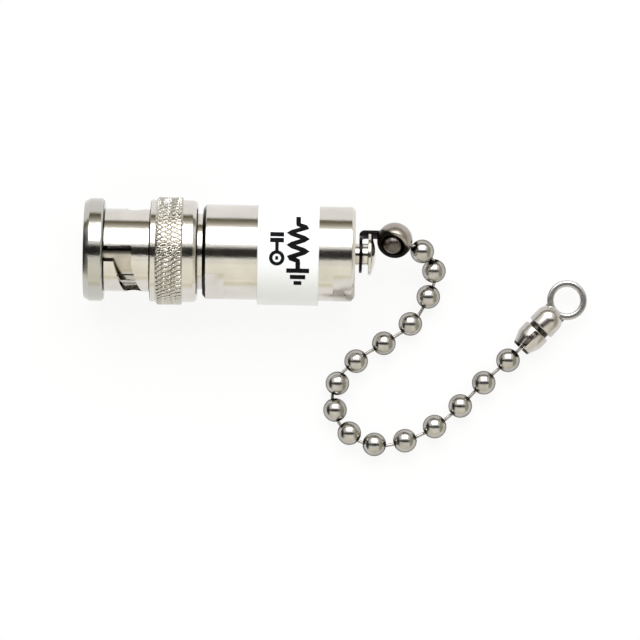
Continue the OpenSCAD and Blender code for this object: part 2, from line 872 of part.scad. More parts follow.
module link_01() chain_link(0);
module link_02() chain_link(1);
module link_03() chain_link(2);
module link_04() chain_link(3);
module link_05() chain_link(4);
module link_06() chain_link(5);
module link_07() chain_link(6);
module link_08() chain_link(7);
module link_09() chain_link(8);
module link_10() chain_link(9);
module link_11() chain_link(10);
module link_12() chain_link(11);
module link_13() chain_link(12);
module link_14() chain_link(13);
module link_15() chain_link(14);
module link_16() chain_link(15);

coupling_nut();
thrust_washer();
wave_washer();
retaining_ring();
gasket();
outer_contact();
insulator();
centre_pin();
front_housing();
rear_housing();
label_sleeve();
resistor_body();
resistor_caps();
front_wire();
rear_wire();
ground_disc();
chain_stud();
near_connector();
far_connector();
ball_01();
ball_02();
ball_03();
ball_04();
ball_05();
ball_06();
ball_07();
ball_08();
ball_09();
ball_10();
ball_11();
ball_12();
ball_13();
ball_14();
ball_15();
ball_16();
ball_17();
link_01();
link_02();
link_03();
link_04();
link_05();
link_06();
link_07();
link_08();
link_09();
link_10();
link_11();
link_12();
link_13();
link_14();
link_15();
link_16();
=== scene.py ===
import json
import math

import bmesh
import bpy
import numpy as np
from mathutils import Matrix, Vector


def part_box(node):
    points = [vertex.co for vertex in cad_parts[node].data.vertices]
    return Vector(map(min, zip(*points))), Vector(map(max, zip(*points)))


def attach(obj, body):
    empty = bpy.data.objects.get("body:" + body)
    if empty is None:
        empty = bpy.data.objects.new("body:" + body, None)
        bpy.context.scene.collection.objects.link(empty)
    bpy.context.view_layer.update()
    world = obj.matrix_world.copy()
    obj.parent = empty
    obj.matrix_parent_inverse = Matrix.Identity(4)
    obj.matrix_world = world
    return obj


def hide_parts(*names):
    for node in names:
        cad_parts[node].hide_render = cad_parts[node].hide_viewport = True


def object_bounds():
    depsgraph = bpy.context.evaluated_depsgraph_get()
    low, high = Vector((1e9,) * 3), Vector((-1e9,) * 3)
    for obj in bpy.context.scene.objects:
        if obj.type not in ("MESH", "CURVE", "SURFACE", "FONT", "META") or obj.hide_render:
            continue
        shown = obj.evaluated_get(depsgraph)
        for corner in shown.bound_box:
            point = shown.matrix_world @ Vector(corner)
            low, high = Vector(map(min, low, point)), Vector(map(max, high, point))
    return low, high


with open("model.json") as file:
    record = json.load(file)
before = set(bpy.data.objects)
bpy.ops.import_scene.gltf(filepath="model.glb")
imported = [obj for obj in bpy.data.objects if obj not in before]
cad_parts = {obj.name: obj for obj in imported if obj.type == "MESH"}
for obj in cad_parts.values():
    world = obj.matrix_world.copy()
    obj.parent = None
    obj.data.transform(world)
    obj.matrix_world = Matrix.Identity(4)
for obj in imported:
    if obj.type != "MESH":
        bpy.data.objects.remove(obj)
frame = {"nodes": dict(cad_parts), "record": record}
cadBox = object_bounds()
nodes = frame["nodes"]
mm = 0.001
print("stage: frame loaded,", len(nodes), "nodes")


# Camera: straight above, turned a little so that the plug slopes as in the photo
camSettings = {
    "pxPerMm": 7.45,
    "imagePx": 640,
    "lensMm": 300.0,
    "sensorMm": 36.0,
    "tilt": 1.08,  # degrees
    "noseX": 84.7,  # pixel of the nut's front face
    "noseY": 249.3,  # pixel of the axis there
}


def makeCamera(s):
    width = s["imagePx"] / s["pxPerMm"] * mm
    tilt = math.radians(s["tilt"])
    dx = s["imagePx"] / 2 - s["noseX"]
    dy = s["imagePx"] / 2 - s["noseY"]
    x = (dx * math.cos(tilt) + dy * math.sin(tilt)) / s["pxPerMm"] * mm
    y = (dx * math.sin(tilt) - dy * math.cos(tilt)) / s["pxPerMm"] * mm
    data = bpy.data.cameras.new("photoCamera")
    data.lens = s["lensMm"]
    data.sensor_width = s["sensorMm"]
    data.clip_start = 0.01
    cam = bpy.data.objects.new("photoCamera", data)
    cam.location = (x, y, width * s["lensMm"] / s["sensorMm"])
    cam.rotation_euler = (0, 0, tilt)
    bpy.context.collection.objects.link(cam)
    bpy.context.scene.camera = cam


makeCamera(camSettings)


# Material helpers
def startMaterial(name):
    mat = bpy.data.materials.new(name)
    mat.use_nodes = True
    tree = mat.node_tree
    return mat, tree, tree.nodes["Principled BSDF"]


def addNode(tree, kind, inputs=None, **props):
    node = tree.nodes.new(kind)
    for key, value in props.items():
        setattr(node, key, value)
    for key, value in (inputs or {}).items():
        if isinstance(value, bpy.types.NodeSocket):
            tree.links.new(value, node.inputs[key])
        else:
            node.inputs[key].default_value = value
    return node


def objectCoords(tree, scale):
    coords = addNode(tree, "ShaderNodeTexCoord")
    mapping = addNode(
        tree, "ShaderNodeMapping", {"Vector": coords.outputs["Object"], "Scale": scale}
    )
    return mapping.outputs["Vector"]


def noise(tree, vector, scale, detail=3.0, rough=0.55):
    node = addNode(
        tree, "ShaderNodeTexNoise",
        {"Vector": vector, "Scale": scale, "Detail": detail, "Roughness": rough},
    )
    return node.outputs["Fac"]


def spread(tree, value, low, high):
    # most of a noise lies between 0.3 and 0.7, and that part is stretched to the two ends
    node = addNode(
        tree, "ShaderNodeMapRange",
        {"Value": value, "From Min": 0.3, "From Max": 0.7, "To Min": low, "To Max": high},
    )
    return node.outputs["Result"]


def blendColor(tree, fac, a, b):
    node = addNode(tree, "ShaderNodeMix", data_type="RGBA")
    sockets = [socket for socket in node.inputs if socket.type == "RGBA"]
    tree.links.new(fac, node.inputs["Factor"])
    for socket, value in zip(sockets, (a, b)):
        if isinstance(value, bpy.types.NodeSocket):
            tree.links.new(value, socket)
        else:
            socket.default_value = (*value, 1)
    return [socket for socket in node.outputs if socket.type == "RGBA"][0]


plainRim = (1.0, 1.0, 1.0)  # how much of its tint a metal keeps at its edge


def metal(name, s):
    # two tints drift over the plating, fine lines run with the tool marks, and both move the roughness
    mat, tree, shader = startMaterial(name)
    plain = objectCoords(tree, (1, 1, 1))
    lines = objectCoords(tree, s["grain"])
    patch = noise(tree, plain, s["patch"], 4)
    tool = noise(tree, lines, 1.0, 3, 0.7)
    speck = noise(tree, plain, s["speck"], 2, 0.6)
    base = blendColor(tree, spread(tree, patch, 0, 1), s["tintA"], s["tintB"])
    # painted shade: where a piece carries this point attribute, the colour goes dark towards the chain's
    # holes
    if "paintedHoleShade" in s:
        holeShade = addNode(tree, "ShaderNodeAttribute", attribute_name="paintedHoleShade")
        base = blendColor(tree, holeShade.outputs["Fac"], base, s["paintedHoleShade"])
    tree.links.new(base, shader.inputs["Base Color"])
    both = addNode(tree, "ShaderNodeMath", operation="ADD")
    tree.links.new(spread(tree, tool, -0.5, 0.5), both.inputs[0])
    tree.links.new(spread(tree, patch, -0.5, 0.5), both.inputs[1])
    low, high = s["rough"]
    rough = addNode(
        tree, "ShaderNodeMapRange",
        {"Value": both.outputs[0], "From Min": -1.0, "From Max": 1.0, "To Min": low, "To Max": high},
    )
    tree.links.new(rough.outputs["Result"], shader.inputs["Roughness"])
    height = addNode(tree, "ShaderNodeMath", operation="ADD")
    tree.links.new(tool, height.inputs[0])
    tree.links.new(speck, height.inputs[1])
    bump = addNode(
        tree, "ShaderNodeBump",
        {"Height": height.outputs[0], "Strength": s["bump"], "Distance": s["bumpHeight"]},
    )
    tree.links.new(bump.outputs["Normal"], shader.inputs["Normal"])
    shader.inputs["Metallic"].default_value = 1.0
    shader.inputs["Specular Tint"].default_value = (*s.get("rim", plainRim), 1)
    return mat


def plastic(name, s):
    # a soft mottle in the colour and a fine grain in the surface
    mat, tree, shader = startMaterial(name)
    plain = objectCoords(tree, (1, 1, 1))
    patch = noise(tree, plain, s["patch"], 3)
    fine = noise(tree, plain, s["speck"], 2)
    base = blendColor(tree, spread(tree, patch, 0, 1), s["tintA"], s["tintB"])
    tree.links.new(base, shader.inputs["Base Color"])
    tree.links.new(spread(tree, fine, *s["rough"]), shader.inputs["Roughness"])
    bump = addNode(
        tree, "ShaderNodeBump",
        {"Height": fine, "Strength": s["bump"], "Distance": s["bumpHeight"]},
    )
    tree.links.new(bump.outputs["Normal"], shader.inputs["Normal"])
    shader.inputs["Specular IOR Level"].default_value = s["spec"]
    return mat


turnedNickel = {
    "tintA": (0.72, 0.69, 0.64), "tintB": (0.64, 0.61, 0.56), "patch": 260.0, "speck": 5200.0,
    "grain": (9000, 260, 260), "rough": (0.08, 0.18), "bump": 0.5, "bumpHeight": 0.00002,
}
ballNickel = {
    "tintA": (0.56, 0.54, 0.51), "tintB": (0.42, 0.40, 0.375), "patch": 700.0, "speck": 4200.0,
    "grain": (900, 900, 5000), "rough": (0.14, 0.26), "bump": 0.12, "bumpHeight": 0.00002,
    "paintedHoleShade": (0.03, 0.027, 0.024), "rim": (0.22, 0.20, 0.18),
}
clipNickel = {
    "tintA": (0.64, 0.60, 0.57), "tintB": (0.50, 0.465, 0.44), "patch": 600.0, "speck": 3800.0,
    "grain": (1800, 1800, 1800), "rough": (0.16, 0.30), "bump": 0.16, "bumpHeight": 0.00003,
}
wireNickel = {
    "tintA": (0.66, 0.64, 0.61), "tintB": (0.44, 0.42, 0.40), "patch": 1500.0, "speck": 5200.0,
    "grain": (1800, 1800, 1800), "rough": (0.16, 0.30), "bump": 0.2, "bumpHeight": 0.00002,
    "paintedHoleShade": (0.03, 0.027, 0.024),
}
# a much darker copy of the ball nickel: painted shade for the end balls inside the connectors
shadedBall = {
    "tintA": (0.20, 0.17, 0.155), "tintB": (0.10, 0.085, 0.075), "patch": 1100.0, "speck": 3800.0,
    "grain": (1800, 1800, 1800), "rough": (0.20, 0.32), "bump": 0.5, "bumpHeight": 0.00005,
}
ringNickel = {
    "tintA": (0.60, 0.585, 0.57), "tintB": (0.46, 0.45, 0.44), "patch": 900.0, "speck": 3800.0,
    "grain": (1800, 1800, 1800), "rough": (0.24, 0.34), "bump": 0.2, "bumpHeight": 0.00003,
}
# a darker, browner copy of the clip nickel for the near cup and strap; on the strap its darkness is painted
# shade
darkClipNickelAndShade = {
    "tintA": (0.46, 0.41, 0.37), "tintB": (0.32, 0.28, 0.25), "patch": 700.0, "speck": 3800.0,
    "grain": (1800, 1800, 1800), "rough": (0.20, 0.34), "bump": 0.2, "bumpHeight": 0.00003,
}
# near black: painted shade on a sheet just inside the near cup
cupShade = {
    "tintA": (0.030, 0.026, 0.022), "tintB": (0.018, 0.016, 0.014), "patch": 900.0, "speck": 3800.0,
    "rough": (0.5, 0.7), "bump": 0.2, "bumpHeight": 0.00003, "spec": 0.2,
}
contactMetal = {
    "tintA": (0.60, 0.56, 0.49), "tintB": (0.42, 0.39, 0.33), "patch": 400.0, "speck": 4200.0,
    "grain": (7000, 300, 300), "rough": (0.16, 0.28), "bump": 0.10, "bumpHeight": 0.00002,
}
goldPlate = {
    "tintA": (0.90, 0.70, 0.34), "tintB": (0.82, 0.62, 0.28), "patch": 700.0, "speck": 5200.0,
    "grain": (9000, 400, 400), "rough": (0.10, 0.18), "bump": 0.06, "bumpHeight": 0.00001,
}
springSteel = {
    "tintA": (0.62, 0.62, 0.62), "tintB": (0.50, 0.50, 0.50), "patch": 600.0, "speck": 5200.0,
    "grain": (600, 4000, 4000), "rough": (0.24, 0.36), "bump": 0.12, "bumpHeight": 0.00002,
}
tinWire = {
    "tintA": (0.80, 0.79, 0.77), "tintB": (0.70, 0.69, 0.67), "patch": 900.0, "speck": 6000.0,
    "grain": (900, 4000, 4000), "rough": (0.22, 0.36), "bump": 0.12, "bumpHeight": 0.00002,
}
insulatorWhite = {
    "tintA": (0.93, 0.93, 0.91), "tintB": (0.88, 0.88, 0.86), "patch": 500.0, "speck": 3000.0,
    "rough": (0.38, 0.5), "bump": 0.05, "bumpHeight": 0.00003, "spec": 0.4,
}
labelWhite = {
    "tintA": (0.91, 0.93, 0.96), "tintB": (0.88, 0.90, 0.93), "patch": 180.0, "speck": 2600.0,
    "rough": (0.34, 0.46), "bump": 0.06, "bumpHeight": 0.00003, "spec": 0.4,
}
printInk = {
    "tintA": (0.004, 0.004, 0.005), "tintB": (0.010, 0.010, 0.011), "patch": 1500.0, "speck": 5200.0,
    "rough": (0.5, 0.7), "bump": 0.1, "bumpHeight": 0.00001, "spec": 0.03,
}
gasketRubber = {
    "tintA": (0.42, 0.10, 0.06), "tintB": (0.34, 0.07, 0.04), "patch": 600.0, "speck": 3200.0,
    "rough": (0.5, 0.7), "bump": 0.2, "bumpHeight": 0.00004, "spec": 0.3,
}
resistorCoat = {
    "tintA": (0.36, 0.22, 0.12), "tintB": (0.28, 0.16, 0.08), "patch": 800.0, "speck": 3600.0,
    "rough": (0.35, 0.5), "bump": 0.15, "bumpHeight": 0.00004, "spec": 0.4,
}

finishes = {
    "turned_nickel": metal("turnedNickel", turnedNickel),
    "stud_nickel": metal("studNickel", turnedNickel),
    "chain_nickel": metal("ballNickel", ballNickel),
    "clip_nickel": metal("clipNickel", clipNickel),
    "contact_brass": metal("contactMetal", contactMetal),
    "gold_pin": metal("goldPlate", goldPlate),
    "washer_metal": metal("springSteel", springSteel),
    "tinned_wire": metal("tinWire", tinWire),
    "white_insulator": plastic("insulatorWhite", insulatorWhite),
    "label_white": plastic("labelWhite", labelWhite),
    "gasket_rubber": plastic("gasketRubber", gasketRubber),
    "resistor_coat": plastic("resistorCoat", resistorCoat),
}
inkFinish = plastic("printInk", printInk)
darkClipShadeFinish = metal("darkClipNickelAndShade", darkClipNickelAndShade)
# groovedFinish carries painted shade on the body's front edge, nutFinish painted shade in the nut's inner
# corners
groovedFinish = metal("groovedNickel", turnedNickel)
nutFinish = metal("nutNickel", turnedNickel)
# a copy of the clip nickel that carries painted shade in the far connector's neck and at its petal tips
petalFinish = metal("petalNickel", clipNickel)
ringFinish = metal("ringNickel", ringNickel)
wireFinish = metal("wireNickel", wireNickel)
shadedBallFinish = metal("shadedBall", shadedBall)
cupShadeFinish = plastic("cupShade", cupShade)


raggedScale = 1500.0  # noise cells in a metre, along the edge of a darkened band


def darken(mat, way, centre, half, soft, tint):
    # the base colour gives way to a tint where the distance along a direction is within half of a centre,
    # with a ragged edge, all in metres
    tree = mat.node_tree
    shader = tree.nodes["Principled BSDF"]
    coords = addNode(tree, "ShaderNodeTexCoord")
    spot = coords.outputs["Object"]
    along = addNode(tree, "ShaderNodeVectorMath", {0: spot}, operation="DOT_PRODUCT")
    along.inputs[1].default_value = way
    ragged = noise(tree, spot, raggedScale, 3)
    shift = addNode(
        tree, "ShaderNodeMapRange",
        {"Value": ragged, "To Min": -soft - centre, "To Max": soft - centre},
    )
    ends = {0: along.outputs["Value"], 1: shift.outputs["Result"]}
    away = addNode(tree, "ShaderNodeMath", ends, operation="ADD")
    size = addNode(tree, "ShaderNodeMath", {0: away.outputs[0]}, operation="ABSOLUTE")
    ends = {"From Min": half - soft, "From Max": half + soft, "To Min": 1.0, "To Max": 0.0}
    mask = addNode(tree, "ShaderNodeMapRange", {"Value": size.outputs[0], **ends})
    plainTint = shader.inputs["Base Color"].links[0].from_socket
    tree.links.new(blendColor(tree, mask.outputs["Result"], plainTint, tint), shader.inputs["Base Color"])


# finish, direction, centre, half, softness in mm, tint: painted shade darkens the contact under the slot, the
# body's front edge in the gap behind the nut and the nut's inner corners, and the handled flange and knurl
# are duller
shadeAndDullBands = (
    (finishes["contact_brass"], (0, 1, 0), 0.40, 0.55, 0.08, (0.02, 0.018, 0.015)),
    (groovedFinish, (1, 0, 0), 16.08, 0.24, 0.04, (0.02, 0.02, 0.018)),
    (nutFinish, (1, 0, 0), 1.2, 1.3, 0.06, (0.52, 0.51, 0.47)),
    (nutFinish, (1, 0, 0), 11.4, 1.85, 0.06, (0.56, 0.54, 0.49)),
    (nutFinish, (1, 0, 0), 2.66, 0.11, 0.04, (0.03, 0.028, 0.025)),
    (nutFinish, (1, 0, 0), 8.82, 0.11, 0.04, (0.03, 0.028, 0.025)),
)
for bandFinish, bandWay, bandAt, bandHalf, bandSoft, bandTint in shadeAndDullBands:
    darken(bandFinish, bandWay, bandAt * mm, bandHalf * mm, bandSoft * mm, bandTint)
slotOf = {part["node"]: part["material_slot"] for part in frame["record"]["subparts"]}
for nodeName, nodeObject in nodes.items():
    nodeObject.data.materials.clear()
    nodeObject.data.materials.append(finishes[slotOf[nodeName]])
print("stage: finishes on", len(nodes), "nodes")


# Surface helpers
straightFrom = 1.53  # half angle in radians from which a corner counts as straight
sideShare = 0.48  # part of a side that one arc may take
weldDist, sliverDist = 2e-7, 1e-7  # metres
cutterSharp = 30  # degrees


def roundedOutline(corners, closed=True, steps=6):
    # corners are (x, radius, rounding): each becomes an arc that touches both of its sides
    spots = np.array([corner[:2] for corner in corners], float)
    out = []
    for i, corner in enumerate(corners):
        here, before, after = spots[i], spots[i - 1], spots[(i + 1) % len(spots)]
        isEnd = not closed and i in (0, len(spots) - 1)
        a, b = before - here, after - here
        lengthA, lengthB = np.linalg.norm(a), np.linalg.norm(b)
        if isEnd or corner[2] == 0:
            out.append(here[None])
            continue
        a, b = a / lengthA, b / lengthB
        half = math.acos(float(np.clip(a @ b, -1, 1))) / 2
        if half > straightFrom:
            out.append(here[None])
            continue
        reach = min(corner[2] / math.tan(half), sideShare * lengthA, sideShare * lengthB)
        radius = reach * math.tan(half)
        centre = here + (a + b) / np.linalg.norm(a + b) * radius / math.sin(half)
        start, end = here + a * reach - centre, here + b * reach - centre
        t = np.linspace(0, 1, steps)[:, None]
        sweep = math.pi - 2 * half
        out.append(centre + (np.sin((1 - t) * sweep) * start + np.sin(t * sweep) * end) / math.sin(sweep))
    return np.concatenate(out)


def arcPoints(centre, radius, start, end, steps):
    # points of a circle round a centre on the turning line, angles in degrees from the forward axis
    turn = np.radians(np.linspace(start, end, steps))
    return [(centre + radius * math.cos(v), radius * math.sin(v), 0) for v in turn]


def polar(x, r, angle):
    # a point at a radius and an angle round the X axis: (x, -r sin angle, r cos angle)
    return np.stack(np.broadcast_arrays(x, -r * np.sin(angle), r * np.cos(angle)), -1)


def turned(y, z, angle):
    # a turn round the X axis: (y cos - z sin, y sin + z cos)
    cosAngle, sinAngle = math.cos(angle), math.sin(angle)
    return y * cosAngle - z * sinAngle, y * sinAngle + z * cosAngle


def spun(x, r, turns):
    # each outline point goes all the way round the X axis
    x, r = (np.asarray(v, float) for v in (x, r))
    x, r = (v[:, None] if v.ndim == 1 else v for v in (x, r))
    return polar(x, r, np.linspace(0, 2 * math.pi, turns, endpoint=False))


def placed(grid, origin, direction):
    # the X axis is turned to a direction with its Z side kept up, then moved to the origin
    forward = np.array(direction, float)
    forward = forward / np.linalg.norm(forward)
    side = np.array((-forward[1], forward[0], 0.0))
    side = side / np.linalg.norm(side)
    up = np.cross(forward, side)
    return np.asarray(origin) + grid @ np.array((forward, side, up))


def closeEnds(grid):
    # the first and the last row are drawn together in their middle
    ends = [np.repeat(grid[i:i + 1].mean(1, keepdims=True), grid.shape[1], 1) for i in (0, len(grid) - 1)]
    return np.concatenate((ends[0], grid, ends[1]))


def gridFaces(rows, cols, wrapRows, wrapCols):
    i = np.arange(rows if wrapRows else rows - 1)
    j = np.arange(cols if wrapCols else cols - 1)
    i, j = np.meshgrid(i, j, indexing="ij")
    ii, jj = (i + 1) % rows, (j + 1) % cols
    return np.stack((i * cols + j, ii * cols + j, ii * cols + jj, i * cols + jj), -1).reshape(-1, 4)


def smoothMesh(mesh, sharp):
    mesh.polygons.foreach_set("use_smooth", np.ones(len(mesh.polygons), bool))
    mesh.set_sharp_from_angle(angle=math.radians(sharp))


def addObject(name, data):
    piece = bpy.data.objects.new(name, data)
    bpy.context.collection.objects.link(piece)
    return piece


def addPiece(name, sheets, sharp):
    # sheets are (points in mm, wraps along rows, wraps along columns)
    verts, faces, start = [], [], 0
    for points, wrapRows, wrapCols in sheets:
        rows, cols = points.shape[:2]
        verts.append(points.reshape(-1, 3) * mm)
        faces.append(gridFaces(rows, cols, wrapRows, wrapCols) + start)
        start += rows * cols
    mesh = bpy.data.meshes.new(name)
    mesh.from_pydata(np.concatenate(verts).tolist(), [], np.concatenate(faces).tolist())
    work = bmesh.new()
    work.from_mesh(mesh)
    bmesh.ops.remove_doubles(work, verts=work.verts, dist=weldDist)
    bmesh.ops.dissolve_degenerate(work, dist=sliverDist, edges=work.edges)
    bmesh.ops.recalc_face_normals(work, faces=work.faces)
    work.to_mesh(mesh)
    work.free()
    smoothMesh(mesh, sharp)
    return addObject(name, mesh)


def addTurned(name, outline, turns, sharp, closed=True):
    # a closed outline makes a ring, an open one starts and ends on the axis
    return addPiece(name, [(spun(outline[:, 0], outline[:, 1], turns), closed, True)], sharp)


def addBlock(name, low, high, turn=0.0):
    # a box between two corners, turned round the X axis
    y = np.array((low[1], high[1], high[1], low[1]))
    z = np.array((low[2], low[2], high[2], high[2]))
    y, z = turned(y, z, turn)
    grid = np.array([np.column_stack((np.full(4, x), y, z)) for x in (low[0], high[0])])
    return addPiece(name, [(closeEnds(grid), False, True)], cutterSharp)


def pointsOf(mesh):
    spots = np.empty(len(mesh.vertices) * 3)
    mesh.vertices.foreach_get("co", spots)
    return spots.reshape(-1, 3)


def setHoleShade(mesh, centre, way, shadeStart, shadeEnd):
    # painted shade, darkest towards a ball's holes and a wire's ends, grows with the distance from the middle
    # along a direction: (|way . (point - centre)| - start) / (end - start), from where it starts to where it
    # is full
    away = np.abs((pointsOf(mesh) / mm - centre) @ way)
    layer = mesh.attributes.new("paintedHoleShade", "FLOAT", "POINT")
    layer.data.foreach_set("value", np.clip((away - shadeStart) / (shadeEnd - shadeStart), 0, 1))


def dress(piece, slot, body, *replaced, finish=None):
    piece.data.materials.clear()
    piece.data.materials.append(finish or finishes[slot])
    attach(piece, body)
    if replaced:
        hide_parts(*replaced)


def cutAway(piece, cutters, sharp):
    # each cutter takes its shape out of the piece, and the result becomes the piece's mesh
    for cutter in cutters:
        mod = piece.modifiers.new(cutter.name, "BOOLEAN")
        mod.operation = "DIFFERENCE"
        mod.solver = "EXACT"
        mod.object = cutter
    view = bpy.context.evaluated_depsgraph_get()
    mesh = bpy.data.meshes.new_from_object(piece.evaluated_get(view))
    old = piece.data
    piece.modifiers.clear()
    piece.data = mesh
    bpy.data.meshes.remove(old)
    for cutter in cutters:
        bpy.data.objects.remove(cutter)
    smoothMesh(mesh, sharp)


# Coupling nut: one turned outline, a knurl as a height on its band, and two cam slots
nutSettings = {
    "length": 15.2, "flangeR": 6.9, "flangeLen": 2.6, "flangeEdge": 0.25, "barrelR": 5.55, "boreR": 4.875,
    "mouthR": 5.42, "mouthLen": 0.55, "bevel": 0.75, "bevelDrop": 0.41,
    "knurlFrom": 8.85, "knurlTo": 13.2, "shoulder": 0.75, "shoulderR": 6.85, "shoulderEdge": (0.12, 0.1),
    "knurlR": 7.25, "knurlDepth": 0.32, "teeth": 64, "pitchX": 1.32, "topFlat": 0.56, "cross": 0.68,
    "bandInset": (0.1, 0.02), "rootDrop": (0.06, 0.05), "stepLean": 0.04,
    "fade": (0.22, 0.12), "fadeTo": 0.25,
    "collarR": 6.85, "collarEdge": 0.62, "collarRound": (0.16, 0.2), "journalR": 4.35, "backFrom": 13.9,
    "turns": 640, "knurlRows": 52, "sharp": 42,
    "slotStart": 6.0, "slotTurn": 88.0, "slotPull": 2.1, "slotLead": 2.3, "slotW": 2.32, "slotSeat": 0.3,
    "slotPast": 0.4, "slotSteps": 40, "seatSteps": 48,
    "grooveFrom": -0.3, "grooveInset": 0.1, "grooveBelow": 0.6, "groovePast": 0.25, "grooveLift": 0.05,
    "pocketTo": 3.85, "pocketSwing": 5.3, "pocketInset": 0.04, "pocketBefore": 0.03, "pocketPast": 0.05,
}


def knurlHeight(x, angle, s):
    # two families of helical grooves cross: the height is the distance from the nearer groove,
    # cut off at the top, and a slow swell along the band and round it makes some peaks more worn
    u = s["teeth"] * angle / (2 * math.pi)
    v = (x - s["knurlFrom"]) / s["pitchX"]
    wobble = 0.10 * np.sin(5.1 * v + 0.13 * u) + 0.08 * np.sin(0.37 * u + 2.3 * v)
    a = np.abs((u + v + wobble) % 1.0 - 0.5) * 2
    b = np.abs((u - v - 0.7 * wobble) % 1.0 - 0.5) * 2
    deep = np.minimum(1 - a ** 1.8, 1 - s["cross"] * b ** 2)
    worn = 0.88 + 0.12 * np.sin(0.61 * u + 1.7 * v) * np.sin(0.23 * u)
    return np.clip(deep / s["topFlat"], 0, 1) * worn


def makeNut(s):
    bandFront, bandBack, turns = s["knurlFrom"], s["knurlTo"], s["turns"]
    stepX = bandFront + s["shoulder"]
    low = s["knurlR"] - s["knurlDepth"]
    flangeR, shoulderR, collarR = s["flangeR"], s["shoulderR"], s["collarR"]
    front = roundedOutline([
        (0.0, s["mouthR"], 0), (0.0, flangeR - s["bevelDrop"], 0.06), (s["bevel"], flangeR, 0.1),
        (s["flangeLen"] - s["flangeEdge"], flangeR, 0.06), (s["flangeLen"], flangeR - s["flangeEdge"], 0.05),
        (s["flangeLen"], s["barrelR"], 0.12), (bandFront, s["barrelR"], 0.1),
        (bandFront, shoulderR - s["shoulderEdge"][1], 0.06),
        (bandFront + s["shoulderEdge"][0], shoulderR, 0.08),
        (stepX, shoulderR, 0.04), (stepX + s["stepLean"], low - s["rootDrop"][0], 0),
    ], closed=False)
    back = roundedOutline([
        (bandBack, low - s["rootDrop"][1], 0), (bandBack + s["stepLean"], collarR, 0.05),
        (s["length"] - s["collarEdge"], collarR, 0.2),
        (s["length"] - s["collarRound"][0], collarR - s["collarRound"][1], 0.15),
        (s["length"], collarR - s["collarEdge"], 0.1), (s["length"], s["journalR"], 0.08),
        (s["backFrom"], s["journalR"], 0.03), (s["backFrom"], s["boreR"], 0.06),
        (s["mouthLen"], s["boreR"], 0.05), (0.0, s["mouthR"], 0),
    ], closed=False)[:-1]
    bandX = np.linspace(stepX + s["bandInset"][0], bandBack - s["bandInset"][1], s["knurlRows"])
    angle = np.linspace(0, 2 * math.pi, turns, endpoint=False)
    # the knurl runs out towards both ends of its band
    rise = np.clip((bandX - bandX[0]) / s["fade"][0], 0, 1)
    fall = np.clip((bandX[-1] - bandX) / s["fade"][1], 0, 1)
    share = s["fadeTo"] + (1 - s["fadeTo"]) * (rise * fall)[:, None]
    band = low + s["knurlDepth"] * knurlHeight(bandX[:, None], angle[None], s) * share
    wide = np.ones((1, turns))
    x = np.concatenate((front[:, 0], bandX, back[:, 0]))
    r = np.concatenate((front[:, 1, None] * wide, band, back[:, 1, None] * wide))
    nut = addPiece("nutShell", [(spun(x, r, turns), True, True)], s["sharp"])
    cutters = []
    for side in (0, 180):
        cutters += slotCutters(s, math.radians(side), side)
    cutAway(nut, cutters, s["sharp"])
    dress(nut, "turned_nickel", "coupling_nut", "coupling_nut", finish=nutFinish)


def slotCutters(s, side, tag):
    # the groove under the flange, the square pocket, the ramp swept round the barrel, and the round seat
    start = math.radians(s["slotStart"]) + side
    sweep = math.radians(s["slotTurn"])
    lead = s["flangeLen"] + s["slotLead"]
    inner, outer, half = s["boreR"] - s["slotPast"], s["barrelR"] + s["slotPast"], s["slotW"] / 2
    t = np.linspace(0, 1, s["slotSteps"])
    turn, mid = start + sweep * t, lead + s["slotPull"] * t
    corners = [(-half, inner), (half, inner), (half, outer), (-half, outer)]
    ramp = np.stack([polar(mid + dx, r, turn) for dx, r in corners], 1)
    out = [addPiece(f"ramp{tag}", [(closeEnds(ramp), False, True)], cutterSharp)]
    wide = half - s["grooveInset"]
    grooveTop = (s["flangeR"] + s["boreR"]) / 2 + s["grooveLift"]
    out.append(addBlock(
        f"groove{tag}", (s["grooveFrom"], -wide, s["boreR"] - s["grooveBelow"]),
        (lead + s["groovePast"], wide, grooveTop), start,
    ))
    wide = half - s["pocketInset"]
    for i, swing in enumerate((0.0, math.radians(s["pocketSwing"]))):
        out.append(addBlock(
            f"pocket{i}{tag}", (lead - s["pocketBefore"], -wide, inner - s["pocketPast"]),
            (s["flangeLen"] + s["pocketTo"], wide, outer + s["pocketPast"]), start + swing,
        ))
    seatX = lead + s["slotPull"] - s["slotSeat"]
    around = np.linspace(0, 2 * math.pi, s["seatSteps"], endpoint=False)
    rows = []
    for z, r in ((inner, 0.0), (inner, half), (outer, half), (outer, 0.0)):
        rows.append(np.stack((seatX + r * np.cos(around), *turned(r * np.sin(around), z, start + sweep)), -1))
    out.append(addPiece(f"seat{tag}", [(np.array(rows), False, True)], cutterSharp))
    return out


makeNut(nutSettings)
print("stage: coupling nut")


# Body: two turned housings with spanner flats
bodySettings = {
    "front": 15.9, "back": 36.3, "seam": 27.35, "radius": 6.35, "neckR": 5.1, "nutBack": 15.2,
    "journalR": 4.3, "journalFrom": 12.0, "grooveFrom": 12.4, "grooveTo": 12.8, "grooveDepth": 0.35,
    "shankR": 3.61, "shankStep": 0.44, "cavityR": 5.3, "cavityFrom": 17.0, "insulatorR": 3.0,
    "spigotLen": 3.0, "spigotR": 5.29, "spigotEdge": 0.2, "rearBoreR": 4.6, "boreR": 1.21, "backWall": 1.4,
    "frontEdge": 0.45, "backEdge": 0.45,
    "flatsR": 5.65, "flatsLen": 2.9, "flatsTurn": 55.0, "flatsPast": 1.0, "flatsHalf": 9.0, "flatsTop": 12.0,
    "turns": 256, "sharp": 38,
}


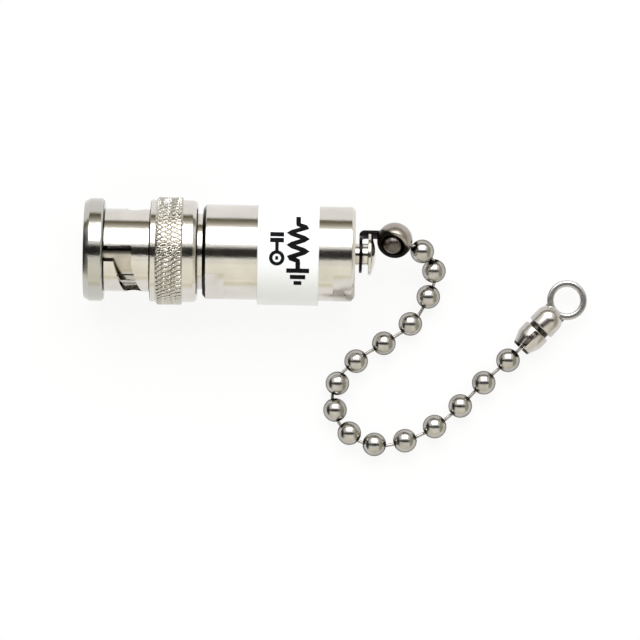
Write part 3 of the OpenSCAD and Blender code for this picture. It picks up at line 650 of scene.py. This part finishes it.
def makeBody(s):
    front, back, seam, radius = s["front"], s["back"], s["seam"], s["radius"]
    journalR, grooveR = s["journalR"], s["journalR"] - s["grooveDepth"]
    outline = roundedOutline([
        (s["journalFrom"], s["shankR"], 0), (s["journalFrom"], journalR, 0.05),
        (s["grooveFrom"], journalR, 0.03), (s["grooveFrom"], grooveR, 0.03),
        (s["grooveTo"], grooveR, 0.03), (s["grooveTo"], journalR, 0.03),
        (s["nutBack"], journalR, 0.05), (s["nutBack"], s["neckR"], 0.05), (front, s["neckR"], 0.06),
        (front, radius - s["frontEdge"], 0.05), (front + s["frontEdge"], radius, 0.1), (seam, radius, 0),
        (seam, s["cavityR"], 0), (s["cavityFrom"], s["cavityR"], 0.05), (s["cavityFrom"], s["insulatorR"], 0),
        (front - s["shankStep"], s["insulatorR"], 0), (front - s["shankStep"], s["shankR"], 0),
    ])
    frontBody = addTurned("frontBody", outline, s["turns"], s["sharp"])
    spigot, inner = seam - s["spigotLen"], back - s["backWall"]
    outline = roundedOutline([
        (spigot, s["rearBoreR"], 0), (spigot, s["spigotR"] - s["spigotEdge"], 0),
        (spigot + s["spigotEdge"], s["spigotR"], 0), (seam, s["spigotR"], 0),
        (seam, radius, 0), (back - s["backEdge"], radius, 0.1), (back, radius - s["backEdge"], 0.06),
        (back, s["boreR"], 0.03), (inner, s["boreR"], 0), (inner, s["rearBoreR"], 0),
    ])
    rearBody = addTurned("rearBody", outline, s["turns"], s["sharp"])
    spans = (
        (frontBody, front - s["flatsPast"], front + s["flatsLen"]),
        (rearBody, back - s["flatsLen"], back + s["flatsPast"]),
    )
    for piece, low, high in spans:
        cutters = [
            addBlock(
                f"flat{side}", (low, -s["flatsHalf"], s["flatsR"]), (high, s["flatsHalf"], s["flatsTop"]),
                math.radians(s["flatsTurn"] + side),
            )
            for side in (0, 180)
        ]
        cutAway(piece, cutters, s["sharp"])
    dress(frontBody, "turned_nickel", "plug", "front_housing", finish=groovedFinish)
    dress(rearBody, "turned_nickel", "plug", "rear_housing")


makeBody(bodySettings)
print("stage: body")


# Label: a white sleeve with plain drawn marks, a resistor to ground and a coaxial socket
labelSettings = {
    "from": 23.25, "to": 31.45, "radius": 7.0, "inner": 6.36, "edge": 0.18, "turns": 256, "sharp": 38,
    "ink": 0.012, "inkRoot": -0.03, "inkSteps": 7, "overhang": 0.2, "inkSharp": 50,
    "stroke": 0.62, "thin": 0.46,
    "symbolX": 28.66, "symbolTop": 5.15, "leadLen": 1.2, "zigs": 6, "zigHalf": 1.25, "zigStep": 0.84,
    "groundDrop": 7.6, "groundHalves": (1.4, 0.9, 0.4), "groundStep": 0.92,
    "socketX": 25.85, "socketY": -0.75, "socketR": 0.8, "dotHalf": 0.16, "dotWidth": 0.4, "bars": (2.4, 3.2),
}


def inkStroke(path, width, s):
    # a ribbon of ink follows a path of (x, height on the label), and is wrapped round the sleeve
    path = np.array(path, float)
    pairs = zip(path[:-1], path[1:])
    steps = np.concatenate([np.linspace(p, q, s["inkSteps"])[:-1] for p, q in pairs] + [path[-1:]])
    run = np.gradient(steps, axis=0)
    run = run / np.linalg.norm(run, axis=1, keepdims=True)
    normal = np.stack((-run[:, 1], run[:, 0]), -1) * width / 2
    over = width * s["overhang"]
    steps = np.concatenate((steps[:1] - run[:1] * over, steps[1:-1], steps[-1:] + run[-1:] * over))
    rows = []
    for side, lift in ((-1, s["inkRoot"]), (-1, s["ink"]), (1, s["ink"]), (1, s["inkRoot"])):
        edge = steps + side * normal
        rows.append(polar(edge[:, 0], s["radius"] + lift, -edge[:, 1] / s["radius"]))
    return closeEnds(np.stack(rows, 1)), False, True


def makeLabel(s):
    outline = roundedOutline([
        (s["from"], s["inner"], 0), (s["from"], s["radius"], s["edge"]),
        (s["to"], s["radius"], s["edge"]), (s["to"], s["inner"], 0),
    ])
    sleeve = addTurned("labelBand", outline, s["turns"], s["sharp"])
    dress(sleeve, "label_white", "plug", "label_sleeve")
    x, top = s["symbolX"], s["symbolTop"]
    zigTop, ground = top - s["leadLen"], top - s["groundDrop"]
    zig = [(x, top), (x, zigTop)]
    zig += [(x + s["zigHalf"] * (-1) ** i, zigTop - s["zigStep"] * (i + 0.5)) for i in range(s["zigs"])]
    zig += [(x, zigTop - s["zigStep"] * s["zigs"]), (x, ground)]
    marks = [inkStroke(zig, s["stroke"], s)]
    for i, half in enumerate(s["groundHalves"]):
        y = ground - s["groundStep"] * i
        marks.append(inkStroke([(x - half, y), (x + half, y)], s["stroke"], s))
    around = np.linspace(0, 2 * math.pi, 33)
    x, y, r, dot = s["socketX"], s["socketY"], s["socketR"], s["dotHalf"]
    marks.append(inkStroke(np.stack((x + r * np.cos(around), y + r * np.sin(around)), -1), s["thin"], s))
    marks.append(inkStroke([(x, y - dot), (x, y + dot)], s["dotWidth"], s))
    marks.append(inkStroke([(x, y + r), (x, y + s["bars"][0])], s["thin"], s))
    for lift in s["bars"]:
        marks.append(inkStroke([(x - r, y + lift), (x + r, y + lift)], s["stroke"], s))
    dress(addPiece("labelInk", marks, s["inkSharp"]), "label_white", "plug", finish=inkFinish)


makeLabel(labelSettings)
print("stage: label")


# Chain rivet in the back wall
rivetSettings = {
    "back": 36.3, "wall": 1.4, "footLen": 0.6, "footR": 2.0, "shankR": 1.2, "neckR": 1.45,
    "headFrom": 38.05, "rim": 0.35, "rimStep": (0.01, 0.03), "headR": 2.8, "dome": 0.65, "domeInset": 0.04,
    "domeSteps": 18, "turns": 96, "sharp": 38,
}


def makeRivet(s):
    inner = s["back"] - s["wall"]
    top = s["headFrom"] + s["rim"]
    crown = (s["headR"] ** 2 + s["dome"] ** 2) / (2 * s["dome"])
    r = np.linspace(s["headR"] - s["domeInset"], 0, s["domeSteps"])
    # the dome is a slice of a ball: x = top + dome - crown + sqrt(crown^2 - r^2)
    dome = np.stack((top + s["dome"] - crown + np.sqrt(crown ** 2 - r ** 2), r), -1)
    outline = roundedOutline([
        (inner - s["footLen"], 0, 0), (inner - s["footLen"], s["footR"], 0.25),
        (inner, s["footR"], 0.05), (inner, s["shankR"], 0.05),
        (s["back"], s["shankR"], 0), (s["back"], s["neckR"], 0.05), (s["headFrom"], s["neckR"], 0.1),
        (s["headFrom"], s["headR"], 0.06), (top, s["headR"], 0.08),
        (top + s["rimStep"][0], s["headR"] - s["rimStep"][1], 0),
    ], closed=False)
    outline = np.concatenate((outline, dome))
    rivet = addTurned("chainRivet", outline, s["turns"], s["sharp"], closed=False)
    dress(rivet, "stud_nickel", "plug", "chain_stud")


makeRivet(rivetSettings)
print("stage: rivet")


# Ball chain: rolled balls with turned-in lips, and headed wires between them
chainSettings = {
    "balls": 17, "radius": 1.6, "sheet": 0.15, "hole": 0.39, "lipAngle": 0.03, "lipRound": 0.01,
    "wireR": 0.22, "headR": 0.45, "wireLen": 2.72, "headSteps": 12, "neckRun": 0.06, "midRun": 0.3,
    "ballShadeStart": 1.36, "ballShadeEnd": 1.48, "wireShadeStart": 0.26, "wireShadeEnd": 0.42,
    "arcSteps": 40, "ballTurns": 64, "wireTurns": 24, "sharp": 60,
}


def sidesOf(node):
    # the middle of a node's box and the lengths of its sides, in mm
    low, high = (np.array(corner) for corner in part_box(node))
    return (low + high) / 2 / mm, (high - low) / mm


def makeChain(s):
    count = s["balls"]
    ballNodes = [f"ball_{i + 1:02d}" for i in range(count)]
    linkNodes = [f"link_{i + 1:02d}" for i in range(count - 1)]
    centres = np.array([sidesOf(node)[0] for node in ballNodes])
    links = np.array([sidesOf(node)[0] for node in linkNodes])
    # a wire's box gives its direction: |part| = (side of the box - 2 head radius) / wire length, with the
    # sign of the step from ball to ball, and a ball points half way between its two wires
    sides = np.array([sidesOf(node)[1] for node in linkNodes])
    along = np.clip(sides - 2 * s["headR"], 0, None) / s["wireLen"] * np.sign(centres[1:] - centres[:-1])
    along = along / np.linalg.norm(along, axis=1, keepdims=True)
    axes = np.concatenate((along[:1], along[1:] + along[:-1], along[-1:]))
    radius, sheet, hole, lip = s["radius"], s["sheet"], s["hole"], s["lipRound"]
    firstAngle = math.asin(hole / radius) + s["lipAngle"]
    out = np.linspace(firstAngle, math.pi - firstAngle, s["arcSteps"])
    arc = np.stack((np.cos(out), np.sin(out)), -1)
    x = math.sqrt(radius ** 2 - hole ** 2)
    # the shell's section: the outer arc, a rounded lip into the hole, and the inner arc back
    lipEnd = np.array(((-x + lip, hole + lip), (-x + sheet / 2, hole), (-x + sheet, hole + lip)))
    lipStart = lipEnd[::-1] * (-1, 1)
    section = np.concatenate((radius * arc, lipEnd, (radius - sheet) * arc[::-1], lipStart))
    ring = spun(section[:, 0], section[:, 1], s["ballTurns"])
    for i, node in enumerate(ballNodes):
        grid = placed(ring, centres[i], axes[i])
        ball = addPiece(f"chainBall{i + 1:02d}", [(grid, True, True)], s["sharp"])
        axis = axes[i] / np.linalg.norm(axes[i])
        # painted shade grows towards the ball's two holes, where the wires go in
        setHoleShade(ball.data, centres[i], axis, s["ballShadeStart"], s["ballShadeEnd"])
        # the two end balls sit in the connectors' cups and get the darker copy as painted shade
        held = i in (0, count - 1)
        dress(ball, "chain_nickel", node, node, finish=shadedBallFinish if held else None)
    half, headR, wireR = s["wireLen"] / 2, s["headR"], s["wireR"]
    turn = np.linspace(math.pi, math.asin(wireR / headR), s["headSteps"])
    head = np.stack((-half + headR * np.cos(turn), headR * np.sin(turn)), -1)
    neckX = -half + math.sqrt(headR * headR - wireR * wireR) + s["neckRun"]
    neck = np.array(((neckX, wireR), (-s["midRun"], wireR), (s["midRun"], wireR)))
    outline = np.concatenate((head, neck, (head * (-1, 1))[::-1]))
    tube = spun(outline[:, 0], outline[:, 1], s["wireTurns"])
    for i, node in enumerate(linkNodes):
        grid = placed(tube, links[i], along[i])
        wire = addPiece(f"chainWire{i + 1:02d}", [(grid, False, True)], s["sharp"])
        # painted shade grows towards the wire's ends inside the balls
        setHoleShade(wire.data, links[i], along[i], s["wireShadeStart"], s["wireShadeEnd"])
        dress(wire, "chain_nickel", node, node, finish=wireFinish)
    return centres, along


ballCentres, linkAlong = makeChain(chainSettings)
print("stage: chain")


# Near connector: an eyelet on the rivet, a bent strap, and a cup round the first ball
nearSettings = {
    "hang": -34.2, "eyeletX": 36.84, "sheet": 0.4, "eyeletIn": 1.55, "eyeletOut": 2.5,
    "strapW": 1.6, "strapY": 3.28, "bend": 0.55, "bendX": 37.59, "strapFrom": 1.8, "strapTo": 39.95,
    "cupIn": 2.0, "cupOut": 2.4, "cupShift": (0.15, 0.255, 0.09), "opening": 1.213,
    "openWay": (-0.2106, -0.5785, 0.7880), "lipAngle": 2.5, "lipRound": (0.05, 0.02), "lipSide": 0.07,
    "mouthR": 0.975, "mouthFrom": 0.8, "mouthTo": 3.6, "mouthSteps": 40,
    "shadeGaps": (0.01, 0.04), "shadeEdge": 3.0, "arcSteps": (40, 32), "turns": 96, "sharp": 45,
    "shadeWay": (-0.5, -0.72, 0.3), "shadeNear": 0.1, "shadeFar": 4.0, "shadeSoft": 0.15,
    "shadeTint": (0.012, 0.010, 0.009),
}


def makeCup(s, centre, along):
    cup = np.array(s["cupShift"]) + centre
    edge, inner = (math.degrees(math.acos(s["opening"] / s[side])) for side in ("cupOut", "cupIn"))
    outR, inR = s["cupOut"] * math.sin(math.radians(edge)), s["cupIn"] * math.sin(math.radians(inner))
    lipX, (back, over), side = s["opening"], s["lipRound"], s["lipSide"]
    cupSteps, shadeSteps = s["arcSteps"]
    section = arcPoints(0, s["cupOut"], 180, edge + s["lipAngle"], cupSteps)
    section += [(lipX - back, outR + over, 0), (lipX, outR - side, 0)]
    section += [(lipX, inR + side, 0), (lipX - back, inR + over, 0)]
    section = np.array(section + arcPoints(0, s["cupIn"], inner + s["lipAngle"], 180, cupSteps))
    grid = placed(spun(section[:, 0], section[:, 1], s["turns"]), cup, s["openWay"])
    piece = addPiece("nearCup", [(grid, False, True)], s["sharp"])
    # a round hole lets the chain out along its first wire
    around = np.linspace(0, 2 * math.pi, s["mouthSteps"], endpoint=False)
    low, high, r = s["mouthFrom"], s["mouthTo"], s["mouthR"]
    rows = [(low, 0.0), (low, r), (high, r), (high, 0.0)]
    hole = np.array([np.stack((x + 0 * around, r * np.cos(around), r * np.sin(around)), -1) for x, r in rows])
    mouth = addPiece("mouth", [(placed(hole, centre, along), False, True)], cutterSharp)
    cutAway(piece, [mouth], s["sharp"])
    dress(piece, "clip_nickel", "near_connector", "near_connector", finish=darkClipShadeFinish)
    # painted shade: the side of the cup round its opening goes near black, on every piece with this finish
    way = np.array(s["shadeWay"]) / np.linalg.norm(s["shadeWay"])
    middle = float(way @ cup) * mm + s["shadeFar"] * mm
    half = (s["shadeFar"] - s["shadeNear"]) * mm
    darken(darkClipShadeFinish, way, middle, half, s["shadeSoft"] * mm, s["shadeTint"])

    # a near-black sheet just inside the cup paints the shade in its hollow
    gap, edgeGap = s["shadeGaps"]
    shadeArc = arcPoints(0, s["cupIn"] - gap, 180, inner + s["shadeEdge"], shadeSteps)
    shadeArc = np.array(shadeArc + arcPoints(0, s["cupIn"] - edgeGap, inner + s["shadeEdge"], 180, shadeSteps))
    grid = placed(spun(shadeArc[:, 0], shadeArc[:, 1], s["turns"]), cup, s["openWay"])
    shadeSheet = addPiece("nearCupShade", [(grid, False, True)], s["sharp"])
    dress(shadeSheet, "clip_nickel", "near_connector", finish=cupShadeFinish)


def makeStrap(s):
    half, wide = s["sheet"] / 2, s["strapW"] / 2
    front, back = s["eyeletX"], s["eyeletX"] + s["sheet"]
    ring = roundedOutline([
        (front, s["eyeletIn"], 0.08), (front, s["eyeletOut"], 0.1),
        (back, s["eyeletOut"], 0.1), (back, s["eyeletIn"], 0.08),
    ])
    # the strap's middle line goes out from the eyelet, round a quarter bend, and along to the cup
    bend, bendY = s["bend"], s["strapY"] - s["bend"]
    path = [(s["bendX"] - bend, s["strapFrom"])]
    for v in np.radians(np.linspace(180, 90, 14)):
        path.append((s["bendX"] + bend * math.cos(v), bendY + bend * math.sin(v)))
    path = np.array(path + [(s["strapTo"], s["strapY"])])
    run = np.gradient(path, axis=0)
    run[0], run[-1] = (0, 1), (1, 0)
    run = run / np.linalg.norm(run, axis=1, keepdims=True)
    normal = np.stack((-run[:, 1], run[:, 0]), -1)
    corners = roundedOutline(
        [(-half, -wide, 0.1), (half, -wide, 0.1), (half, wide, 0.1), (-half, wide, 0.1)], steps=4
    )
    flat = path[:, None] + normal[:, None] * corners[None, :, :1]
    across = np.broadcast_to(corners[None, :, 1:], flat.shape[:2] + (1,))
    strap = closeEnds(np.concatenate((flat, across), -1))
    y, z = turned(strap[..., 1], strap[..., 2], math.radians(s["hang"]))
    strap = np.stack((strap[..., 0], y, z), -1)
    sheets = [(spun(ring[:, 0], ring[:, 1], s["turns"]), True, True), (strap, False, True)]
    band = addPiece("nearStrap", sheets, s["sharp"])
    # the strap's darker nickel is painted shade
    dress(band, "clip_nickel", "near_connector", finish=darkClipShadeFinish)


makeCup(nearSettings, ballCentres[0], linkAlong[0])
makeStrap(nearSettings)
print("stage: near connector")


# Far connector: slit petals and a bell turned from one outline, a flat web and the end ring
farSettings = {
    "out": 1.94, "in": 1.66, "taper": 23.0, "tip": -2.14, "neckR": 1.45, "neckIn": 1.17,
    "neckFrom": 1.16, "neckTo": 1.76, "bellX": 3.2, "slit": 0.64, "slitTo": 0.99, "slitPast": (1.0, 3.0),
    "webW": 3.2, "webT": 0.4, "webSteps": 25,
    "ringX": 6.9, "ringMid": 2.25, "ringHalf": 0.45, "ringRound": 0.3,
    "turns": 128, "ringTurns": 96, "sharp": 45,
    "neckShade": 0.30, "tipShade": 0.32, "shadeSoft": 0.05, "shadeTint": (0.05, 0.045, 0.04),
}


def makeFar(s, centre, heading):
    outer, inner, lean = s["out"], s["in"], math.radians(s["taper"])
    # the petals leave their ball shape where the cone touches it: r = R cos taper - (distance) tan taper
    tipR = [r * math.cos(lean) - (-s["tip"] - r * math.sin(lean)) * math.tan(lean) for r in (outer, inner)]
    neckTurn = math.degrees(math.asin(s["neckIn"] / inner))
    outline = arcPoints(s["bellX"], outer, 0, 90, 28)
    outline += [
        (s["neckTo"], outer, 0.12), (s["neckTo"], s["neckR"], 0.05),
        (s["neckFrom"], s["neckR"], 0.05), (s["neckFrom"], outer, 0.4),
    ]
    outline += arcPoints(0, outer, 90, 90 + s["taper"], 12)
    outline += [(s["tip"], tipR[0], 0.06), (s["tip"], tipR[1], 0.06)]
    outline += arcPoints(0, inner, 90 + s["taper"], neckTurn, 20)
    outline += arcPoints(s["bellX"], inner, 180 - neckTurn, 0, 36)
    outline = roundedOutline(outline, closed=False)
    shell = addTurned("farShell", outline, s["turns"], s["sharp"], closed=False)
    before, reach = s["slitPast"]
    slit = addBlock("slit", (s["tip"] - before, -s["slit"] / 2, -reach), (s["slitTo"], s["slit"] / 2, reach))
    cutAway(shell, [slit], s["sharp"])

    low, high, half = s["ringMid"] - s["ringHalf"], s["ringMid"] + s["ringHalf"], s["ringHalf"]
    corners = ((low, -half), (high, -half), (high, half), (low, half))
    section = roundedOutline([(*corner, s["ringRound"]) for corner in corners], steps=9)
    turn = np.linspace(0, 2 * math.pi, s["ringTurns"], endpoint=False)[:, None]
    ring = np.stack(np.broadcast_arrays(
        s["ringX"] + section[:, 0] * np.cos(turn), section[:, 0] * np.sin(turn), section[:, 1],
    ), -1)
    y = np.linspace(-s["webW"] / 2, s["webW"] / 2, s["webSteps"])
    # the web starts inside the bell's wall and ends at the ring's middle line
    first = s["bellX"] + np.sqrt(((outer + inner) / 2) ** 2 - y ** 2)
    last = s["ringX"] - np.sqrt(s["ringMid"] ** 2 - y ** 2)
    up = np.full_like(y, s["webT"] / 2)
    edges = ((first, -up), (last, -up), (last, up), (first, up))
    web = np.stack([np.stack((x, y, z), -1) for x, z in edges], 1)
    tail = addPiece("farTail", [(ring, True, True), (closeEnds(web), False, True)], s["sharp"])
    for piece in (shell, tail):
        mesh = piece.data
        mesh.vertices.foreach_set("co", placed(pointsOf(mesh), np.asarray(centre) * mm, heading).ravel())
        mesh.update()
    # painted shade: near-black bands in the neck between the petals and the bell, and at the petal tips
    way = np.array(heading) / np.linalg.norm(heading)
    neck = (s["neckFrom"] + s["neckTo"]) / 2
    for spot, half in ((neck, s["neckShade"]), (s["tip"], s["tipShade"])):
        middle = (float(way @ centre) + spot) * mm
        darken(petalFinish, way, middle, half * mm, s["shadeSoft"] * mm, s["shadeTint"])
    dress(shell, "clip_nickel", "far_connector", "far_connector", finish=petalFinish)
    dress(tail, "clip_nickel", "far_connector", finish=ringFinish)


makeFar(farSettings, ballCentres[-1], linkAlong[-1] * (1, 1, 0))
print("stage: far connector")


# Floor, room and soft lights
stageSettings = {
    "floorSize": 6.0,
    "floorTint": (0.93, 0.925, 0.92), "fleckDim": 0.985, "fleckScale": 60.0, "floorRough": 0.6,
    "floorGlow": 0.88,
    # the room as an arc from the horizon behind (0) over the top (0.5) to the horizon in front (1)
    "room": (
        (0.000, (0.10, 0.09, 0.040)), (0.030, (0.12, 0.10, 0.055)), (0.066, (0.26, 0.24, 0.18)),
        (0.105, (0.48, 0.46, 0.40)), (0.140, (0.84, 0.82, 0.74)), (0.172, (1.0, 1.0, 0.99)),
        (0.438, (1.0, 1.0, 1.0)),
        (0.446, (0.022, 0.020, 0.018)), (0.580, (0.024, 0.022, 0.020)), (0.588, (0.98, 0.98, 0.92)),
        (0.650, (0.96, 0.95, 0.88)), (0.680, (0.68, 0.67, 0.60)), (0.900, (0.58, 0.56, 0.48)),
        (0.935, (0.86, 0.83, 0.70)), (0.978, (0.84, 0.82, 0.66)), (1.000, (0.90, 0.87, 0.72)),
    ),
    "frontDark": (0.03, 0.03, 0.028), "frontEdge": (-0.76, -0.85),
    "backOlive": (0.46, 0.45, 0.34), "backEdge": (0.66, 0.78),
    "roomLevel": 1.0,
    "lamps": {
        # sizes are across X and along the arc, in metres
        "softBox": {
            "from": (0.03, 0.42, 0.50), "size": (0.64, 0.46), "level": 12.0, "tint": (1.0, 1.0, 1.0),
        },
        "bounceCard": {
            "from": (0.03, -0.46, 0.34), "size": (1.1, 0.50), "level": 1.2, "tint": (1.0, 0.96, 0.88),
        },
    },
    "lampTarget": (0.03, 0.0, 0.0),
}


def makeFloor(s):
    size = s["floorSize"]
    z = cadBox[0][2]
    mesh = bpy.data.meshes.new("floor")
    corners = [(-size, -size, z), (size, -size, z), (size, size, z), (-size, size, z)]
    mesh.from_pydata(corners, [], [(0, 1, 2, 3)])
    floor = addObject("floor", mesh)
    mat, tree, shader = startMaterial("paleFloor")
    fleck = noise(tree, objectCoords(tree, (1, 1, 1)), s["fleckScale"], 2)
    dim = tuple(v * s["fleckDim"] for v in s["floorTint"])
    tree.links.new(blendColor(tree, fleck, s["floorTint"], dim), shader.inputs["Base Color"])
    shader.inputs["Roughness"].default_value = s["floorRough"]
    # rays that come from the camera or off the object see the floor nearly white, and it keeps its shadows
    glow = addNode(tree, "ShaderNodeEmission", {"Color": (1, 1, 1, 1), "Strength": 1.0})
    path = addNode(tree, "ShaderNodeLightPath")
    seen = addNode(tree, "ShaderNodeMath", operation="MAXIMUM")
    tree.links.new(path.outputs["Is Camera Ray"], seen.inputs[0])
    tree.links.new(path.outputs["Is Glossy Ray"], seen.inputs[1])
    more = addNode(tree, "ShaderNodeMath", operation="MAXIMUM")
    tree.links.new(seen.outputs[0], more.inputs[0])
    tree.links.new(path.outputs["Is Transmission Ray"], more.inputs[1])
    part = addNode(tree, "ShaderNodeMath", operation="MULTIPLY")
    tree.links.new(more.outputs[0], part.inputs[0])
    part.inputs[1].default_value = s["floorGlow"]
    mix = addNode(tree, "ShaderNodeMixShader", {"Fac": part.outputs[0]})
    tree.links.new(shader.outputs[0], mix.inputs[1])
    tree.links.new(glow.outputs[0], mix.inputs[2])
    tree.links.new(mix.outputs[0], tree.nodes["Material Output"].inputs["Surface"])
    mesh.materials.append(mat)


def makeLamp(name, s, target):
    data = bpy.data.lights.new(name, "AREA")
    data.shape = "RECTANGLE"
    data.size, data.size_y = s["size"]
    data.energy = s["level"] * s["size"][0] * s["size"][1]
    data.color = s["tint"]
    lamp = addObject(name, data)
    place = np.array(s["from"])
    back = place - target
    back = back / np.linalg.norm(back)
    side = np.array((1.0, 0.0, 0.0))
    up = np.cross(back, side)
    rows = [(side[i], up[i], back[i], place[i]) for i in range(3)]
    lamp.matrix_world = Matrix(rows + [(0, 0, 0, 1)])
    lamp.visible_camera = False


def makeRoom(s):
    # the colour follows the arc over the object, and gives way to another one towards each end of X
    world = bpy.data.worlds.new("room")
    world.use_nodes = True
    tree = world.node_tree
    coords = addNode(tree, "ShaderNodeTexCoord")
    parts = addNode(tree, "ShaderNodeSeparateXYZ", {"Vector": coords.outputs["Generated"]})
    arc = addNode(tree, "ShaderNodeMath", operation="ARCTAN2")
    tree.links.new(parts.outputs["Z"], arc.inputs[0])
    tree.links.new(parts.outputs["Y"], arc.inputs[1])
    unit = addNode(tree, "ShaderNodeMath", operation="MULTIPLY")
    tree.links.new(arc.outputs[0], unit.inputs[0])
    unit.inputs[1].default_value = 1 / math.pi
    ramp = addNode(tree, "ShaderNodeValToRGB", {"Fac": unit.outputs[0]})
    bar = ramp.color_ramp
    while len(bar.elements) < len(s["room"]):
        bar.elements.new(0.5)
    for element, (place, tint) in zip(bar.elements, s["room"]):
        element.position = place
        element.color = (*tint, 1)
    colour = ramp.outputs["Color"]
    for tint, edge in ((s["frontDark"], s["frontEdge"]), (s["backOlive"], s["backEdge"])):
        end = addNode(
            tree, "ShaderNodeMapRange",
            {"Value": parts.outputs["X"], "From Min": edge[0], "From Max": edge[1]},
        )
        colour = blendColor(tree, end.outputs["Result"], colour, tint)
    tree.links.new(colour, tree.nodes["Background"].inputs["Color"])
    tree.nodes["Background"].inputs["Strength"].default_value = s["roomLevel"]
    bpy.context.scene.world = world


makeFloor(stageSettings)
makeRoom(stageSettings)
for lampName, lampSettings in stageSettings["lamps"].items():
    makeLamp(lampName, lampSettings, np.array(stageSettings["lampTarget"]))
bpy.context.scene.view_settings.view_transform = "Standard"
print("stage: floor and lamps")
